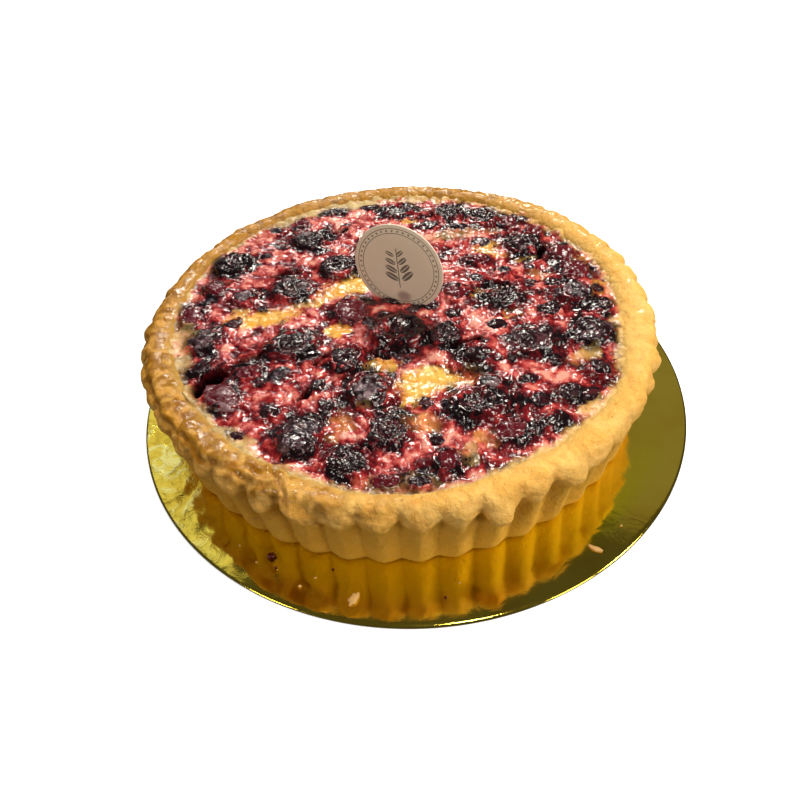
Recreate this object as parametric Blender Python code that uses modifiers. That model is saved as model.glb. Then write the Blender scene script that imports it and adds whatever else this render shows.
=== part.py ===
"""A round fluted shortcrust tart of baked custard and mixed berries, on its gold cake card.

The card, the pastry case, the custard, each berry and the round tag are separate solids.
Origin at the centre of the card's underside, +Z up, the front towards -Y.
"""

import math
import random

import bmesh
import bpy
from mathutils import Euler, Matrix, Vector, noise

MM = 0.001
GAP = 0.3 * MM

CARD_RADIUS = 114.3 * MM
CARD_THICKNESS = 1.2 * MM
CARD_SIDES = 72

# The tart stands a little off the card's centre.
TART_X = -4.4 * MM
TART_Y = 6.7 * MM
TART_Z = CARD_THICKNESS + GAP

FLUTES = 48
STEPS_PER_FLUTE = 4
FIRST_VALLEY = math.radians(6.5)
FLUTE_DEPTH = 2.0 * MM

BASE_RADIUS = 96.2 * MM
UNDER_RIM_RADIUS = 98.4 * MM
RIM_RADIUS = 101.6 * MM
CREST_RADIUS = 98.0 * MM
UNDER_RIM_HEIGHT = 24.5 * MM
RIM_HEIGHT = 30.5 * MM
CREST_HEIGHT = 36.0 * MM
CREST_WAVE = 0.9 * MM
FLOOR_THICKNESS = 4.0 * MM

LOBE_DEPTH = 2.4 * MM
LOBE_DROOP = 1.2 * MM
LOBE_SEED = 11

# Uneven places round the tart, each a direction and half width in degrees and a size:
# where the rim is smooth, where its crest is high or low, where dough hangs down the side
# or stands out from it, and where the custard reaches further out or less far.
SMOOTH_RIM = [(140, 100, 0.75)]
CREST_SWELLS = [(100, 60, -1.0 * MM), (5, 40, 0.5 * MM), (250, 16, 0.8 * MM)]
DOUGH_DROPS = [(253, 4, 6.0 * MM), (243, 5, 3.0 * MM), (287, 4, 2.0 * MM), (305, 5, 1.5 * MM)]
DOUGH_BULGES = [
    (30, 38, 2.6 * MM),
    (95, 50, -1.3 * MM),
    (187, 38, 2.2 * MM),
    (243, 5, 0.6 * MM),
    (253, 4, 0.8 * MM),
    (287, 4, 1.4 * MM),
    (305, 5, 1.2 * MM),
]
EDGE_SWELLS = [
    (150, 46, 2.2 * MM),
    (220, 40, -1.8 * MM),
    (272, 24, 2.3 * MM),
    (328, 18, 2.2 * MM),
    (348, 33, -2.6 * MM),
]

FILLING_RADIUS = 89.8 * MM
FILLING_WANDER = 0.5 * MM
FLOOR_RADIUS = 87.0 * MM
CUSTARD_LEVEL = 32.6 * MM
CUSTARD_DOME = 1.6 * MM
CUSTARD_SWELL = 1.3 * MM
SWELL_SIZE = 17.0 * MM
CUSTARD_SIDES = 48
CUSTARD_RINGS = 5
POCKET_SIDES = 10

TAG_RADIUS = 19.0 * MM
TAG_THICKNESS = 0.7 * MM
TAG_X = 0.9 * MM
TAG_Y = 5.9 * MM
TAG_Z = 49.9 * MM
TAG_TURN = math.radians(-24)
TAG_LEAN = math.radians(3)
TAG_SIDES = 48

# A berry's height as a share of its width, and whether drupelets cover it.
BERRY_KINDS = {
    "cherry": {"height": 0.82, "drupelets": False, "color": (0.030, 0.006, 0.010), "roughness": 0.22},
    "bramble": {"height": 0.80, "drupelets": True, "color": (0.028, 0.010, 0.022), "roughness": 0.28},
    "raspberry": {"height": 0.76, "drupelets": True, "color": (0.170, 0.012, 0.022), "roughness": 0.30},
    "blueberry": {"height": 0.86, "drupelets": False, "color": (0.040, 0.028, 0.055), "roughness": 0.35},
}
DRUPELET_RISE = 0.09
LARGE_BERRY = 17.5 * MM
SMALL_BERRY = 12.5 * MM

# Each berry: place from the tart's centre, length, width and turn in degrees,
# and how far it stands out of the custard, all in whole or half millimetres.
BERRIES = {
    "cherry": [
        (0, -16, 23, 20, 10, 7),
        (18, -18, 14, 12, 60, 4),
        (28, -32, 18, 15, 40, 4),
        (-41, -20, 19, 17, 20, 4),
        (-45, 16, 18, 16, 0, 4),
        (-25, 30, 18, 16, 0, 5),
        (-74, 38, 17, 17, 60, 5),
        (-41, 54, 14, 12, 0, 4),
        (28, -55, 22, 15, -4, 5),
        (-4, -66, 16, 14, 30, 4),
        (-18, -79, 16, 12, -10, 3),
        (1, 78, 17, 12, 0, 3),
        (25, 72, 16, 12, -10, 4),
        (41, 68, 16, 13, -30, 4),
        (44, 4, 14, 12, -10, 3),
        (-30, 79, 12, 6, 15, 2),
    ],
    "bramble": [
        (75, -19, 17, 15, 20, 4),
        (73, 6, 15, 15, 60, 4),
        (52, -23, 19, 16, 20, 4),
        (61, -5, 10, 10, 0, 3),
        (57, 43, 16, 14, 30, 4),
        (84, -3, 9, 6, 90, 2),
        (-20, -30, 14, 12, 60, 4),
        (-12, -47, 18, 15, 90, 5),
        (-35, -67, 18, 16, 60, 5),
        (-78, -14, 13, 12, 80, 3),
        (-75, -29, 11, 7, 40, 2),
        (5, -88, 10, 6, 0, 2),
        (60, -52, 10, 8, 60, 3),
        (50, -65, 11, 6, 30, 2),
        (73, -40, 9, 9, 0, 3),
    ],
    "raspberry": [
        (73, 36, 12, 11, 0, 3),
        (76, 23, 13, 13, 30, 3),
        (53, 62, 11, 10, 60, 3),
        (63, 53, 10, 9, -40, 3),
        (-19, 0, 18, 15, 70, 5),
        (24, 7, 12, 11, 90, 3),
        (36, 32, 10, 8, 0, 2),
        (-85, 3, 17, 11, 88, 3),
        (-79, 19, 10, 10, 60, 3),
        (-65, -46, 18, 12, -40, 3),
        (38, -68, 13, 11, 20, 3),
        (15, -80, 11, 10, 0, 3),
        (-5, -87, 10, 6, 0, 2),
        (-57, -34, 10, 8, 30, 3),
        (-45, 71, 7, 7, 0, 2),
    ],
    "blueberry": [
        (-65, 12, 10, 9, 0, 4),
        (-57, 64, 7, 6, 0, 3),
        (46, 23, 7, 6, 0, 3),
        (57, 25, 6, 6, 0, 3),
        (34, 18, 7, 6, 0, 3),
        (33, -45, 8, 7, 0, 3),
        (-44, -35, 7, 6, 0, 3),
    ],
}

# Cracks and sunken holes in the custard: place, length, width, turn and depth.
CREVICES = [
    (-2, -29, 24, 6, -25, 7),
    (27, -22, 20, 5, 25, 5),
    (-71, -38, 12, 9, 60, 8),
    (-49, 28, 12, 4, 10, 4),
    (-35, -47, 7, 4, 70, 4),
]


def clear_scene():
    for thing in list(bpy.data.objects):
        bpy.data.objects.remove(thing)


def new_collection(name):
    group = bpy.data.collections.new(name)
    bpy.context.scene.collection.children.link(group)
    return group


def new_material(name, color, roughness, metallic=0.0):
    finish = bpy.data.materials.new(name)
    finish.use_nodes = True
    shader = finish.node_tree.nodes["Principled BSDF"]
    shader.inputs["Base Color"].default_value = (*color, 1.0)
    shader.inputs["Roughness"].default_value = roughness
    shader.inputs["Metallic"].default_value = metallic
    return finish


def add_object(name, form, group, finish=None):
    """Link a bmesh as a named, smooth-shaded object and free it."""
    mesh = bpy.data.meshes.new(name)
    form.to_mesh(mesh)
    form.free()
    mesh.shade_smooth()
    mesh.set_sharp_from_angle(angle=math.radians(50))
    if finish:
        mesh.materials.append(finish)
    piece = bpy.data.objects.new(name, mesh)
    group.objects.link(piece)
    return piece


def turned_form(profile, steps, first_angle):
    """Turn a half profile of (radius, height), given from the top down its outer side."""
    line = bmesh.new()
    points = [
        line.verts.new((radius * math.cos(first_angle), radius * math.sin(first_angle), height))
        for radius, height in profile
    ]
    for upper, lower in zip(points, points[1:]):
        line.edges.new((upper, lower))
    mesh = bpy.data.meshes.new("profile")
    line.to_mesh(mesh)
    line.free()
    guide = bpy.data.objects.new("profile", mesh)
    bpy.context.scene.collection.objects.link(guide)
    screw = guide.modifiers.new("turn", "SCREW")
    screw.steps = steps
    screw.render_steps = steps
    screw.use_merge_vertices = True
    screw.merge_threshold = 0.00001
    turned = bpy.data.meshes.new_from_object(guide.evaluated_get(bpy.context.evaluated_depsgraph_get()))
    form = bmesh.new()
    form.from_mesh(turned)
    bpy.data.objects.remove(guide)
    bpy.data.meshes.remove(mesh)
    bpy.data.meshes.remove(turned)
    return form


def disc_form(radius, thickness, sides):
    form = bmesh.new()
    bmesh.ops.create_cone(
        form, cap_ends=True, segments=sides, radius1=radius, radius2=radius, depth=thickness
    )
    return form


def tart_place():
    return Matrix.Translation((TART_X, TART_Y, TART_Z))


def flute(angle):
    """0 in a valley between two flutes, 1 on a flute's crest."""
    return abs(math.sin((angle - FIRST_VALLEY) * FLUTES / 2)) ** 0.8


def lobe_sizes():
    draw = random.Random(LOBE_SEED)
    return [draw.uniform(0.35, 1.0) for _ in range(FLUTES)]


LOBE_SIZES = lobe_sizes()


def lobe(angle):
    """How far the puffed rim stands out over its flute, from 0 to 1, least at the smooth back."""
    turn = (angle - FIRST_VALLEY) % math.tau
    size = LOBE_SIZES[int(turn / math.tau * FLUTES) % FLUTES]
    return flute(angle) * size * (1.0 - uneven(angle, SMOOTH_RIM))


def uneven(angle, places):
    """The sum of round bumps, each largest in its own direction and gone at its half width."""
    total = 0.0
    for direction, half_width, size in places:
        away = (math.degrees(angle) - direction + 180) % 360 - 180
        total += size * max(0.0, 1.0 - (away / half_width) ** 2) ** 2
    return total


def wave(angle, turns, seed):
    """A smooth swell round the rim between -1 and 1 that closes on itself."""
    return noise.noise(Vector((turns * math.cos(angle), turns * math.sin(angle), seed))) * 1.6


def filling_edge(angle):
    """Radius from the tart's centre at which the custard meets the crust."""
    return FILLING_RADIUS + uneven(angle, EDGE_SWELLS) + FILLING_WANDER * wave(angle, 3.0, 4.0)


def case_rows():
    """The case's profile rows: radius, height, and the share of flute, lobe and filling edge each takes."""
    rim_width = CREST_RADIUS - FILLING_RADIUS
    return [
        (0.0, FLOOR_THICKNESS, 0, 0, 0),
        (FLOOR_RADIUS, FLOOR_THICKNESS, 0, 0, 0),
        (FILLING_RADIUS, CUSTARD_LEVEL, 0, 0, 1),
        (FILLING_RADIUS + 0.35 * rim_width, CREST_HEIGHT - 1.0 * MM, 0, 0, 0.6),
        (CREST_RADIUS, CREST_HEIGHT, 0, 0.15, 0.15),
        (RIM_RADIUS - 0.8 * MM, CREST_HEIGHT - 2.0 * MM, 0, 0.7, 0),
        (RIM_RADIUS, RIM_HEIGHT, 0, 1, 0),
        (RIM_RADIUS - 1.0 * MM, RIM_HEIGHT - 3.2 * MM, 0.2, 0.9, 0),
        (UNDER_RIM_RADIUS, UNDER_RIM_HEIGHT, 1, 0.1, 0),
        (BASE_RADIUS, 0.0, 1, 0, 0),
        (0.0, 0.0, 0, 0, 0),
    ]


def pastry_case(group):
    """The fluted case: a cup whose puffed rim stands out in a lobe over each flute."""
    rows = case_rows()
    form = turned_form([row[:2] for row in rows], FLUTES * STEPS_PER_FLUTE, FIRST_VALLEY)
    for point in form.verts:
        radius = math.hypot(point.co.x, point.co.y)
        if radius < GAP:
            continue
        row = min(rows, key=lambda each: abs(each[0] - radius) + abs(each[1] - point.co.z))
        flute_share, lobe_share, edge_share = row[2:]
        angle = math.atan2(point.co.y, point.co.x)
        out = flute_share * FLUTE_DEPTH * flute(angle)
        out += lobe_share * (LOBE_DEPTH * lobe(angle) + uneven(angle, DOUGH_BULGES))
        out += edge_share * (filling_edge(angle) - FILLING_RADIUS)
        crest_share = min(1.0, lobe_share * 4)
        height = point.co.z
        height += crest_share * (CREST_WAVE * wave(angle, 4.0, 9.0) + uneven(angle, CREST_SWELLS))
        if row[1] <= RIM_HEIGHT:
            height -= lobe_share * (LOBE_DROOP * lobe(angle) + uneven(angle, DOUGH_DROPS))
        scale = (radius + out) / radius
        point.co = Vector((point.co.x * scale, point.co.y * scale, height))
    bmesh.ops.transform(form, matrix=tart_place(), verts=form.verts)
    crust = new_material("baked_shortcrust", (0.68, 0.36, 0.10), 0.45)
    return add_object("pastry_case", form, group, crust)


def custard_height(x, y):
    """Height of the custard's uneven top over the tart's base."""
    share = min(1.0, math.hypot(x, y) / FILLING_RADIUS)
    swell = noise.noise(Vector((x / SWELL_SIZE, y / SWELL_SIZE, 2.0)))
    return CUSTARD_LEVEL + CUSTARD_DOME * (1.0 - share**3) + CUSTARD_SWELL * swell * (1.0 - share**6)


def custard(group, cutters):
    """The baked filling: it fills the case, with a pocket under each berry and a slot for the tag."""
    bottom = FLOOR_THICKNESS + GAP
    rings = [FILLING_RADIUS * ring / CUSTARD_RINGS for ring in range(CUSTARD_RINGS + 1)]
    profile = [(radius, CUSTARD_LEVEL) for radius in rings]
    profile += [(FLOOR_RADIUS - 2 * GAP, bottom), (0.0, bottom)]
    form = turned_form(profile, CUSTARD_SIDES, 0.0)
    for point in form.verts:
        if point.co.z < CUSTARD_LEVEL - GAP:
            continue
        radius = math.hypot(point.co.x, point.co.y)
        angle = math.atan2(point.co.y, point.co.x)
        reach = (filling_edge(angle) - 1.3 * GAP) / FILLING_RADIUS
        x, y = point.co.x * reach, point.co.y * reach
        point.co = Vector((x, y, custard_height(x, y) if radius > GAP else custard_height(0, 0)))
    bmesh.ops.transform(form, matrix=tart_place(), verts=form.verts)
    egg_custard = new_material("baked_custard", (0.62, 0.23, 0.14), 0.35)
    filling = add_object("custard", form, group, egg_custard)
    carve = filling.modifiers.new("pockets", "BOOLEAN")
    carve.operation = "DIFFERENCE"
    carve.operand_type = "COLLECTION"
    carve.collection = cutters
    return filling


def berry_form(kind, length, width, rise, seed):
    """A berry about the middle of its widest section, which is level with the custard."""
    draw = random.Random(seed)
    form = bmesh.new()
    if BERRY_KINDS[kind]["drupelets"]:
        finer = 1 if length > LARGE_BERRY else 0
        bmesh.ops.create_icosphere(form, subdivisions=1 + finer, radius=1.0)
        tops = [point.co.normalized() for point in form.verts]
        form.clear()
        bmesh.ops.create_icosphere(form, subdivisions=2 + finer, radius=1.0)
        for point in form.verts:
            on_top = max(point.co.dot(top) for top in tops) > 0.995
            point.co *= 1.0 - (0.0 if on_top else 2.0 * DRUPELET_RISE) * draw.uniform(0.7, 1.0)
    else:
        rings = 7 if length > SMALL_BERRY else 5
        bmesh.ops.create_uvsphere(form, u_segments=POCKET_SIDES, v_segments=rings, radius=1.0)
        dent = Vector((draw.uniform(-0.6, 0.6), draw.uniform(-0.6, 0.2), 0.8)).normalized()
        for point in form.verts:
            near = max(0.0, point.co.normalized().dot(dent)) ** 8
            point.co *= 1.0 - 0.12 * near
    depth = BERRY_KINDS[kind]["height"] * width - rise
    for point in form.verts:
        half_height = rise if point.co.z > 0 else depth
        point.co = Vector((point.co.x * length / 2, point.co.y * width / 2, point.co.z * half_height))
    return form


def berry_place(x, y, turn):
    place = Matrix.Translation((x, y, custard_height(x, y)))
    return tart_place() @ place @ Matrix.Rotation(math.radians(turn), 4, "Z")


def pocket_form(length, width, depth, round_share):
    """The straight-sided well that a berry leaves in the custard, which clears it by the gap."""
    form = disc_form(1.0, 2.0, POCKET_SIDES)
    reach = ((length / 2 + GAP) / round_share, (width / 2 + GAP) / round_share, depth + GAP, 1.0)
    bmesh.ops.transform(form, matrix=Matrix.Diagonal(reach), verts=form.verts)
    return form


def add_cutter(name, form, cutters):
    cutter = add_object(name, form, cutters)
    cutter.hide_render = True
    cutter.display_type = "WIRE"
    return cutter


def berries(group, cutters):
    """Every berry, each in a pocket of its own."""
    seed = 0
    for kind, places in BERRIES.items():
        look = BERRY_KINDS[kind]
        skin = new_material(kind + "_skin", look["color"], look["roughness"])
        for number, (x, y, length, width, turn, rise) in enumerate(places, 1):
            seed += 1
            x, y, length, width, rise = (size * MM for size in (x, y, length, width, rise))
            place = berry_place(x, y, turn)
            form = berry_form(kind, length, width, rise, seed)
            bmesh.ops.transform(form, matrix=place, verts=form.verts)
            name = f"{kind}_{number:02d}"
            add_object(name, form, group, skin)
            # A dented berry has the well's own sides, and a drupelet berry is round.
            round_share = math.cos(math.pi / POCKET_SIDES) if look["drupelets"] else 1.0
            pocket = pocket_form(length, width, look["height"] * width - rise, round_share)
            bmesh.ops.transform(pocket, matrix=place, verts=pocket.verts)
            add_cutter("pocket_" + name, pocket, cutters)


def crevices(cutters):
    """The black cracks and holes between the berries."""
    for number, (x, y, length, width, turn, depth) in enumerate(CREVICES, 1):
        x, y, length, width, depth = (size * MM for size in (x, y, length, width, depth))
        form = pocket_form(length, width, depth, 1.0)
        bmesh.ops.transform(form, matrix=berry_place(x, y, turn), verts=form.verts)
        add_cutter(f"crevice_{number:02d}", form, cutters)


def round_tag(group, cutters):
    """The thin printed disc that stands in the custard, leaning back a little."""
    place = (
        tart_place()
        @ Matrix.Translation((TAG_X, TAG_Y, TAG_Z))
        @ Matrix.Rotation(TAG_TURN, 4, "Z")
        @ Matrix.Rotation(math.pi / 2 - TAG_LEAN, 4, "X")
    )
    form = disc_form(TAG_RADIUS, TAG_THICKNESS, TAG_SIDES)
    bmesh.ops.transform(form, matrix=place, verts=form.verts)
    card = new_material("tag_card", (0.48, 0.33, 0.21), 0.6)
    add_object("round_tag", form, group, card)
    slot = disc_form(TAG_RADIUS + GAP, TAG_THICKNESS + 2 * GAP, TAG_SIDES)
    bmesh.ops.transform(slot, matrix=place, verts=slot.verts)
    add_cutter("tag_slot", slot, cutters)


def cake_card(group):
    """The thin round card under the tart, covered with gold foil."""
    form = disc_form(CARD_RADIUS, CARD_THICKNESS, CARD_SIDES)
    bmesh.ops.translate(form, vec=(0.0, 0.0, CARD_THICKNESS / 2), verts=form.verts)
    foil = new_material("gold_foil", (0.72, 0.52, 0.12), 0.12, 1.0)
    return add_object("cake_card", form, group, foil)


def main():
    clear_scene()
    tart = new_collection("berry_clafoutis")
    cutters = new_collection("cutters")
    cake_card(tart)
    pastry_case(tart)
    berries(tart, cutters)
    crevices(cutters)
    round_tag(tart, cutters)
    custard(tart, cutters)


if __name__ == "__main__":
    main()
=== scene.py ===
"""The looks of a berry clafoutis on its gold cake card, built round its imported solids.

Each group of pieces has an operator of its own, and the panel in the sidebar lists them all.
Lengths are metres, +Z up, with the origin under the middle of the card.
"""

import math
import random

import bmesh
import bpy
import numpy as np
from bpy.props import FloatProperty, FloatVectorProperty, IntProperty, PointerProperty
from mathutils import Matrix, Vector, noise


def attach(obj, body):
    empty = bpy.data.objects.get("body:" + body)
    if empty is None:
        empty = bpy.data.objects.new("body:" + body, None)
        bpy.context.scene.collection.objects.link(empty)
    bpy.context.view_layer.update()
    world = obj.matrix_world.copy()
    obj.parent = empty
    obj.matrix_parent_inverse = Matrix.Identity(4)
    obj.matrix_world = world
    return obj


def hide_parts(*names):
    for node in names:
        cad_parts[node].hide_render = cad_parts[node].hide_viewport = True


bl_info = {
    "name": "Berry Clafoutis",
    "version": (1, 0, 0),
    "blender": (4, 5, 0),
    "location": "3D View > Sidebar > Clafoutis",
    "description": "Bakes a berry clafoutis in its fluted crust, on a gold cake card",
    "category": "Add Mesh",
}

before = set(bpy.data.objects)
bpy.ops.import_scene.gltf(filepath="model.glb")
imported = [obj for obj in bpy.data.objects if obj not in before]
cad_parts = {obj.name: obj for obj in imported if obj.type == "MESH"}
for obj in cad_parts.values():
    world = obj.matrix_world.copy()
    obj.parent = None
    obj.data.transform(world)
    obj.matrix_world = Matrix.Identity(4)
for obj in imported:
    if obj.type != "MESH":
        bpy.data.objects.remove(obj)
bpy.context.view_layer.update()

MM = 0.001
GAP = 0.3 * MM

# The card and the tart's place on it.
CARD_RADIUS = 114.3 * MM
CARD_THICKNESS = 1.2 * MM
CARD_SIDES = 320
CARD_ROWS = 96
# Inside the first radius the foil carries a painted reflection tint of the crust, and none beyond the
# second.
MIRROR_FULL = 100 * MM
MIRROR_END = 109 * MM
TART = Vector((-4.4 * MM, 6.7 * MM, CARD_THICKNESS + GAP))

# The fluted case.
FLUTES = 48
FIRST_VALLEY = math.radians(6.5)
FLUTE_DEPTH = 2.0 * MM
BASE_RADIUS = 96.2 * MM
UNDER_RIM_RADIUS = 98.4 * MM
RIM_RADIUS = 101.6 * MM
CREST_RADIUS = 98.0 * MM
UNDER_RIM_HEIGHT = 24.5 * MM
RIM_HEIGHT = 30.5 * MM
CREST_HEIGHT = 36.0 * MM
CREST_WAVE = 0.9 * MM
FLOOR_THICKNESS = 4.0 * MM
LOBE_DEPTH = 2.3 * MM
LOBE_DROOP = 1.2 * MM
LOBE_SEED = 11
CREASE_SEED = 5
BROAD_LUMP = 8.0 * MM
MIDDLE_LUMP = 3.2 * MM
FINE_LUMP = 1.5 * MM
KNOB_SIZE = 5.2 * MM

# Uneven places round the tart, each a direction and half width in degrees and a size.
SMOOTH_RIM = [(118, 82, 0.75), (322, 48, 0.4)]
CREST_SWELLS = [(100, 60, -1.0 * MM), (5, 40, 0.5 * MM), (250, 16, 0.8 * MM)]
SHARP_FLUTES = [(215, 60, 1.0)]
SOFT_FLUTES = [(278, 50, 0.8), (335, 55, 0.6)]
DOUGH_DROPS = [(253, 4, 6.0 * MM), (243, 5, 3.0 * MM), (287, 4, 2.0 * MM), (305, 5, 1.5 * MM)]
DOUGH_BULGES = [
    (30, 38, 2.6 * MM),
    (95, 50, -1.3 * MM),
    (187, 38, 2.2 * MM),
    (243, 5, 0.6 * MM),
    (253, 4, 0.8 * MM),
    (287, 4, 1.4 * MM),
    (305, 5, 1.2 * MM),
]
EDGE_SWELLS = [
    (150, 46, 2.2 * MM),
    (220, 40, -1.8 * MM),
    (272, 24, 2.3 * MM),
    (328, 18, 2.2 * MM),
    (348, 33, -2.6 * MM),
]

# The custard.
FILLING_RADIUS = 89.8 * MM
FILLING_WANDER = 0.5 * MM
FLOOR_RADIUS = 87.0 * MM
CUSTARD_LEVEL = 32.6 * MM
CUSTARD_DOME = 1.6 * MM
CUSTARD_SWELL = 1.3 * MM
SWELL_SIZE = 17.0 * MM
# How far the custard runs under the crust's wall, and the sizes of its swirls and foam.
UNDER_CRUST = 3.0 * MM
DRIFT_SIZE = 6.0 * MM
RIPPLE_SIZE = 2.3 * MM
PILLOW_SIZE = 5.5 * MM
BEAD_SIZE = 2.1 * MM
JUICE_SEED = 3
# The custard's lowest point in a crack, and its bottom's radius as a share of its top's.
LOWEST_CUSTARD = FLOOR_THICKNESS + 2 * GAP + 1.0 * MM
BOTTOM_SHARE = (FLOOR_RADIUS - 2 * GAP) / (FILLING_RADIUS + 1.5 * MM)

# The round tag.
TAG_RADIUS = 19.0 * MM
TAG_THICKNESS = 0.7 * MM
TAG_SIDES = 128
TAG_ROUNDING = 0.15 * MM
TAG_PLACE = (0.9 * MM, 5.9 * MM, 49.9 * MM)
TAG_TURN = math.radians(-24)
TAG_LEAN = math.radians(3)
TAG_PRINT_TURN = math.radians(12)
# The tag's print: two rings, a ring of dots between them, and a sprig of leaves in pairs.
PRINT_RINGS = (17.3 * MM, 15.3 * MM)
RING_HALF_WIDTH = 0.16 * MM
DOT_RING = 16.3 * MM
DOTS = 44
LEAF_PAIRS = 4
LEAF_TILT = 0.62

# A berry's random seed is its kind's value here plus its number. The crumbs' seeds count up from theirs.
SEEDS = {"cherry": 120, "bramble": 140, "raspberry": 180, "blueberry": 180, "scrap": 300}
CRUMB_SEED = 40
# How deep the wrinkles are in the skin of the berries without drupelets, as a share of the radius.
WRINKLES = {"cherry": 0.14, "blueberry": 0.06}
SKIN_ROUGHNESS = 0.08
# A berry's height as a share of its width.
BERRY_HEIGHTS = {"cherry": 0.82, "bramble": 0.80, "raspberry": 0.76, "blueberry": 0.86, "scrap": 0.76}
# How flat a berry's top is, 1 for an ellipsoid, and the share of its height left after baking.
BERRY_FLATNESS = 0.9
BERRY_SUNK = {"cherry": 0.72, "bramble": 0.7, "raspberry": 0.62, "blueberry": 0.45, "scrap": 0.6}
# Each berry: place from the tart's centre, length, width and turn in degrees,
# and how far it stands out of the custard, in millimetres.
BERRIES = {
    "cherry": [
        (0, -16, 23, 20, 10, 7),
        (18, -18, 14, 12, 60, 4),
        (28, -32, 18, 15, 40, 4),
        (-41, -20, 19, 17, 20, 4),
        (-45, 16, 18, 16, 0, 4),
        (-25, 30, 18, 16, 0, 5),
        (-74, 38, 17, 17, 60, 5),
        (-41, 54, 14, 12, 0, 4),
        (28, -55, 22, 15, -4, 5),
        (-4, -66, 16, 14, 30, 4),
        (-18, -79, 16, 12, -10, 3),
        (1, 78, 17, 12, 0, 3),
        (25, 72, 16, 12, -10, 4),
        (41, 68, 16, 13, -30, 4),
        (44, 4, 14, 12, -10, 3),
        (-30, 79, 12, 6, 15, 2),
    ],
    "bramble": [
        (75, -19, 17, 15, 20, 4),
        (73, 6, 15, 15, 60, 4),
        (52, -23, 19, 16, 20, 4),
        (61, -5, 10, 10, 0, 3),
        (57, 43, 16, 14, 30, 4),
        (84, -3, 9, 6, 90, 2),
        (-20, -30, 14, 12, 60, 4),
        (-12, -47, 18, 15, 90, 5),
        (-35, -67, 18, 16, 60, 5),
        (-78, -14, 13, 12, 80, 3),
        (-75, -29, 11, 7, 40, 2),
        (5, -88, 10, 6, 0, 2),
        (60, -52, 10, 8, 60, 3),
        (50, -65, 11, 6, 30, 2),
        (73, -40, 9, 9, 0, 3),
    ],
    "raspberry": [
        (73, 36, 12, 11, 0, 3),
        (76, 23, 13, 13, 30, 3),
        (53, 62, 11, 10, 60, 3),
        (63, 53, 10, 9, -40, 3),
        (-19, 0, 18, 15, 70, 5),
        (24, 7, 12, 11, 90, 3),
        (36, 32, 10, 8, 0, 2),
        (-85, 3, 17, 11, 88, 3),
        (-79, 19, 10, 10, 60, 3),
        (-65, -46, 18, 12, -40, 3),
        (38, -68, 13, 11, 20, 3),
        (15, -80, 11, 10, 0, 3),
        (-5, -87, 10, 6, 0, 2),
        (-57, -34, 10, 8, 30, 3),
        (-45, 71, 7, 7, 0, 2),
    ],
    "blueberry": [
        (-65, 12, 10, 9, 0, 4),
        (-57, 64, 7, 6, 0, 3),
        (46, 23, 7, 6, 0, 3),
        (57, 25, 6, 6, 0, 3),
        (34, 18, 7, 6, 0, 3),
        (33, -45, 8, 7, 0, 3),
        (-44, -35, 7, 6, 0, 3),
    ],
}

# How strongly each kind of berry stains the custard round it.
JUICE_OF = {"cherry": 1.0, "bramble": 0.95, "raspberry": 0.85, "blueberry": 0.55}

# Cracks and sunken holes: place, length, width, turn and depth in millimetres.
CREVICES = [
    (-9, -27, 12, 3, -30, 3),
    (27, -22, 16, 4, 25, 3),
    (-71, -38, 15, 10, 60, 8),
    (-58, -26, 15, 4, 25, 4),
    (-49, 28, 13, 4, 10, 4),
    (-76, 22, 9, 4, 45, 4),
    (-35, -47, 7, 4, 70, 4),
    (-30, -29, 8, 3, 50, 4),
    (38, 12, 20, 3, 8, 2),
    (-13, -72, 7, 3, -40, 4),
    (-27, 62, 10, 4, 10, 3),
    (64, 36, 10, 3, 60, 3),
    (12, 70, 12, 3, 10, 4),
]

# Where the custard stayed yellow, orange or pale: place, length, width, turn and strength.
YELLOW_PATCHES = [
    (-18, 18, 34, 12, 20, 1.0),
    (-37, 8, 27, 10, 25, 1.0),
    (-53, -1, 28, 11, 14, 1.0),
    (-66, 0, 12, 8, 50, 0.7),
    (-24, -12, 11, 8, 0, 0.9),
    (-7, -34, 12, 8, 0, 1.0),
    (12, -43, 33, 15, 8, 1.0),
    (6, -50, 14, 10, 30, 0.9),
    (44, 40, 18, 13, -10, 1.0),
    (56, 33, 9, 6, 20, 0.7),
    (45, -6, 10, 4, 25, 0.6),
    (36, 8, 12, 4, 15, 0.5),
    (80, 30, 9, 7, 60, 0.6),
    (84, 10, 7, 12, 0, 0.6),
    (5, 68, 9, 5, 0, 0.6),
]
ORANGE_PATCHES = [
    (6, -64, 15, 11, 20, 1.0),
    (28, -71, 12, 7, 10, 1.0),
    (-21, -62, 15, 9, 60, 0.8),
    (-48, 22, 12, 6, 20, 0.5),
    (22, -40, 10, 5, 30, 0.6),
    (60, 20, 10, 7, 0, 0.5),
    (43, 55, 10, 6, 0, 0.4),
    (70, -34, 10, 5, 30, 0.6),
]
CREAM_PATCHES = [
    (-50, 78, 40, 12, 32, 1.0),
    (-22, 86, 34, 9, 5, 1.0),
    (-86, -12, 9, 22, 0, 1.0),
    (-84, -26, 9, 12, 20, 0.9),
    (-57, -67, 16, 8, -45, 0.9),
    (-80, 44, 8, 16, -30, 0.7),
    (70, -31, 15, 5, 25, 0.6),
    (22, -77, 9, 9, 0, 0.6),
    (-13, -53, 6, 5, 0, 1.0),
    (14, 88, 40, 6, 0, 0.7),
    (26, 54, 26, 9, 10, 0.35),
    (86, -14, 6, 10, 0, 0.7),
    (66, -58, 14, 6, 45, 0.7),
    (0, -88, 30, 6, 0, 0.5),
]

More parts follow.
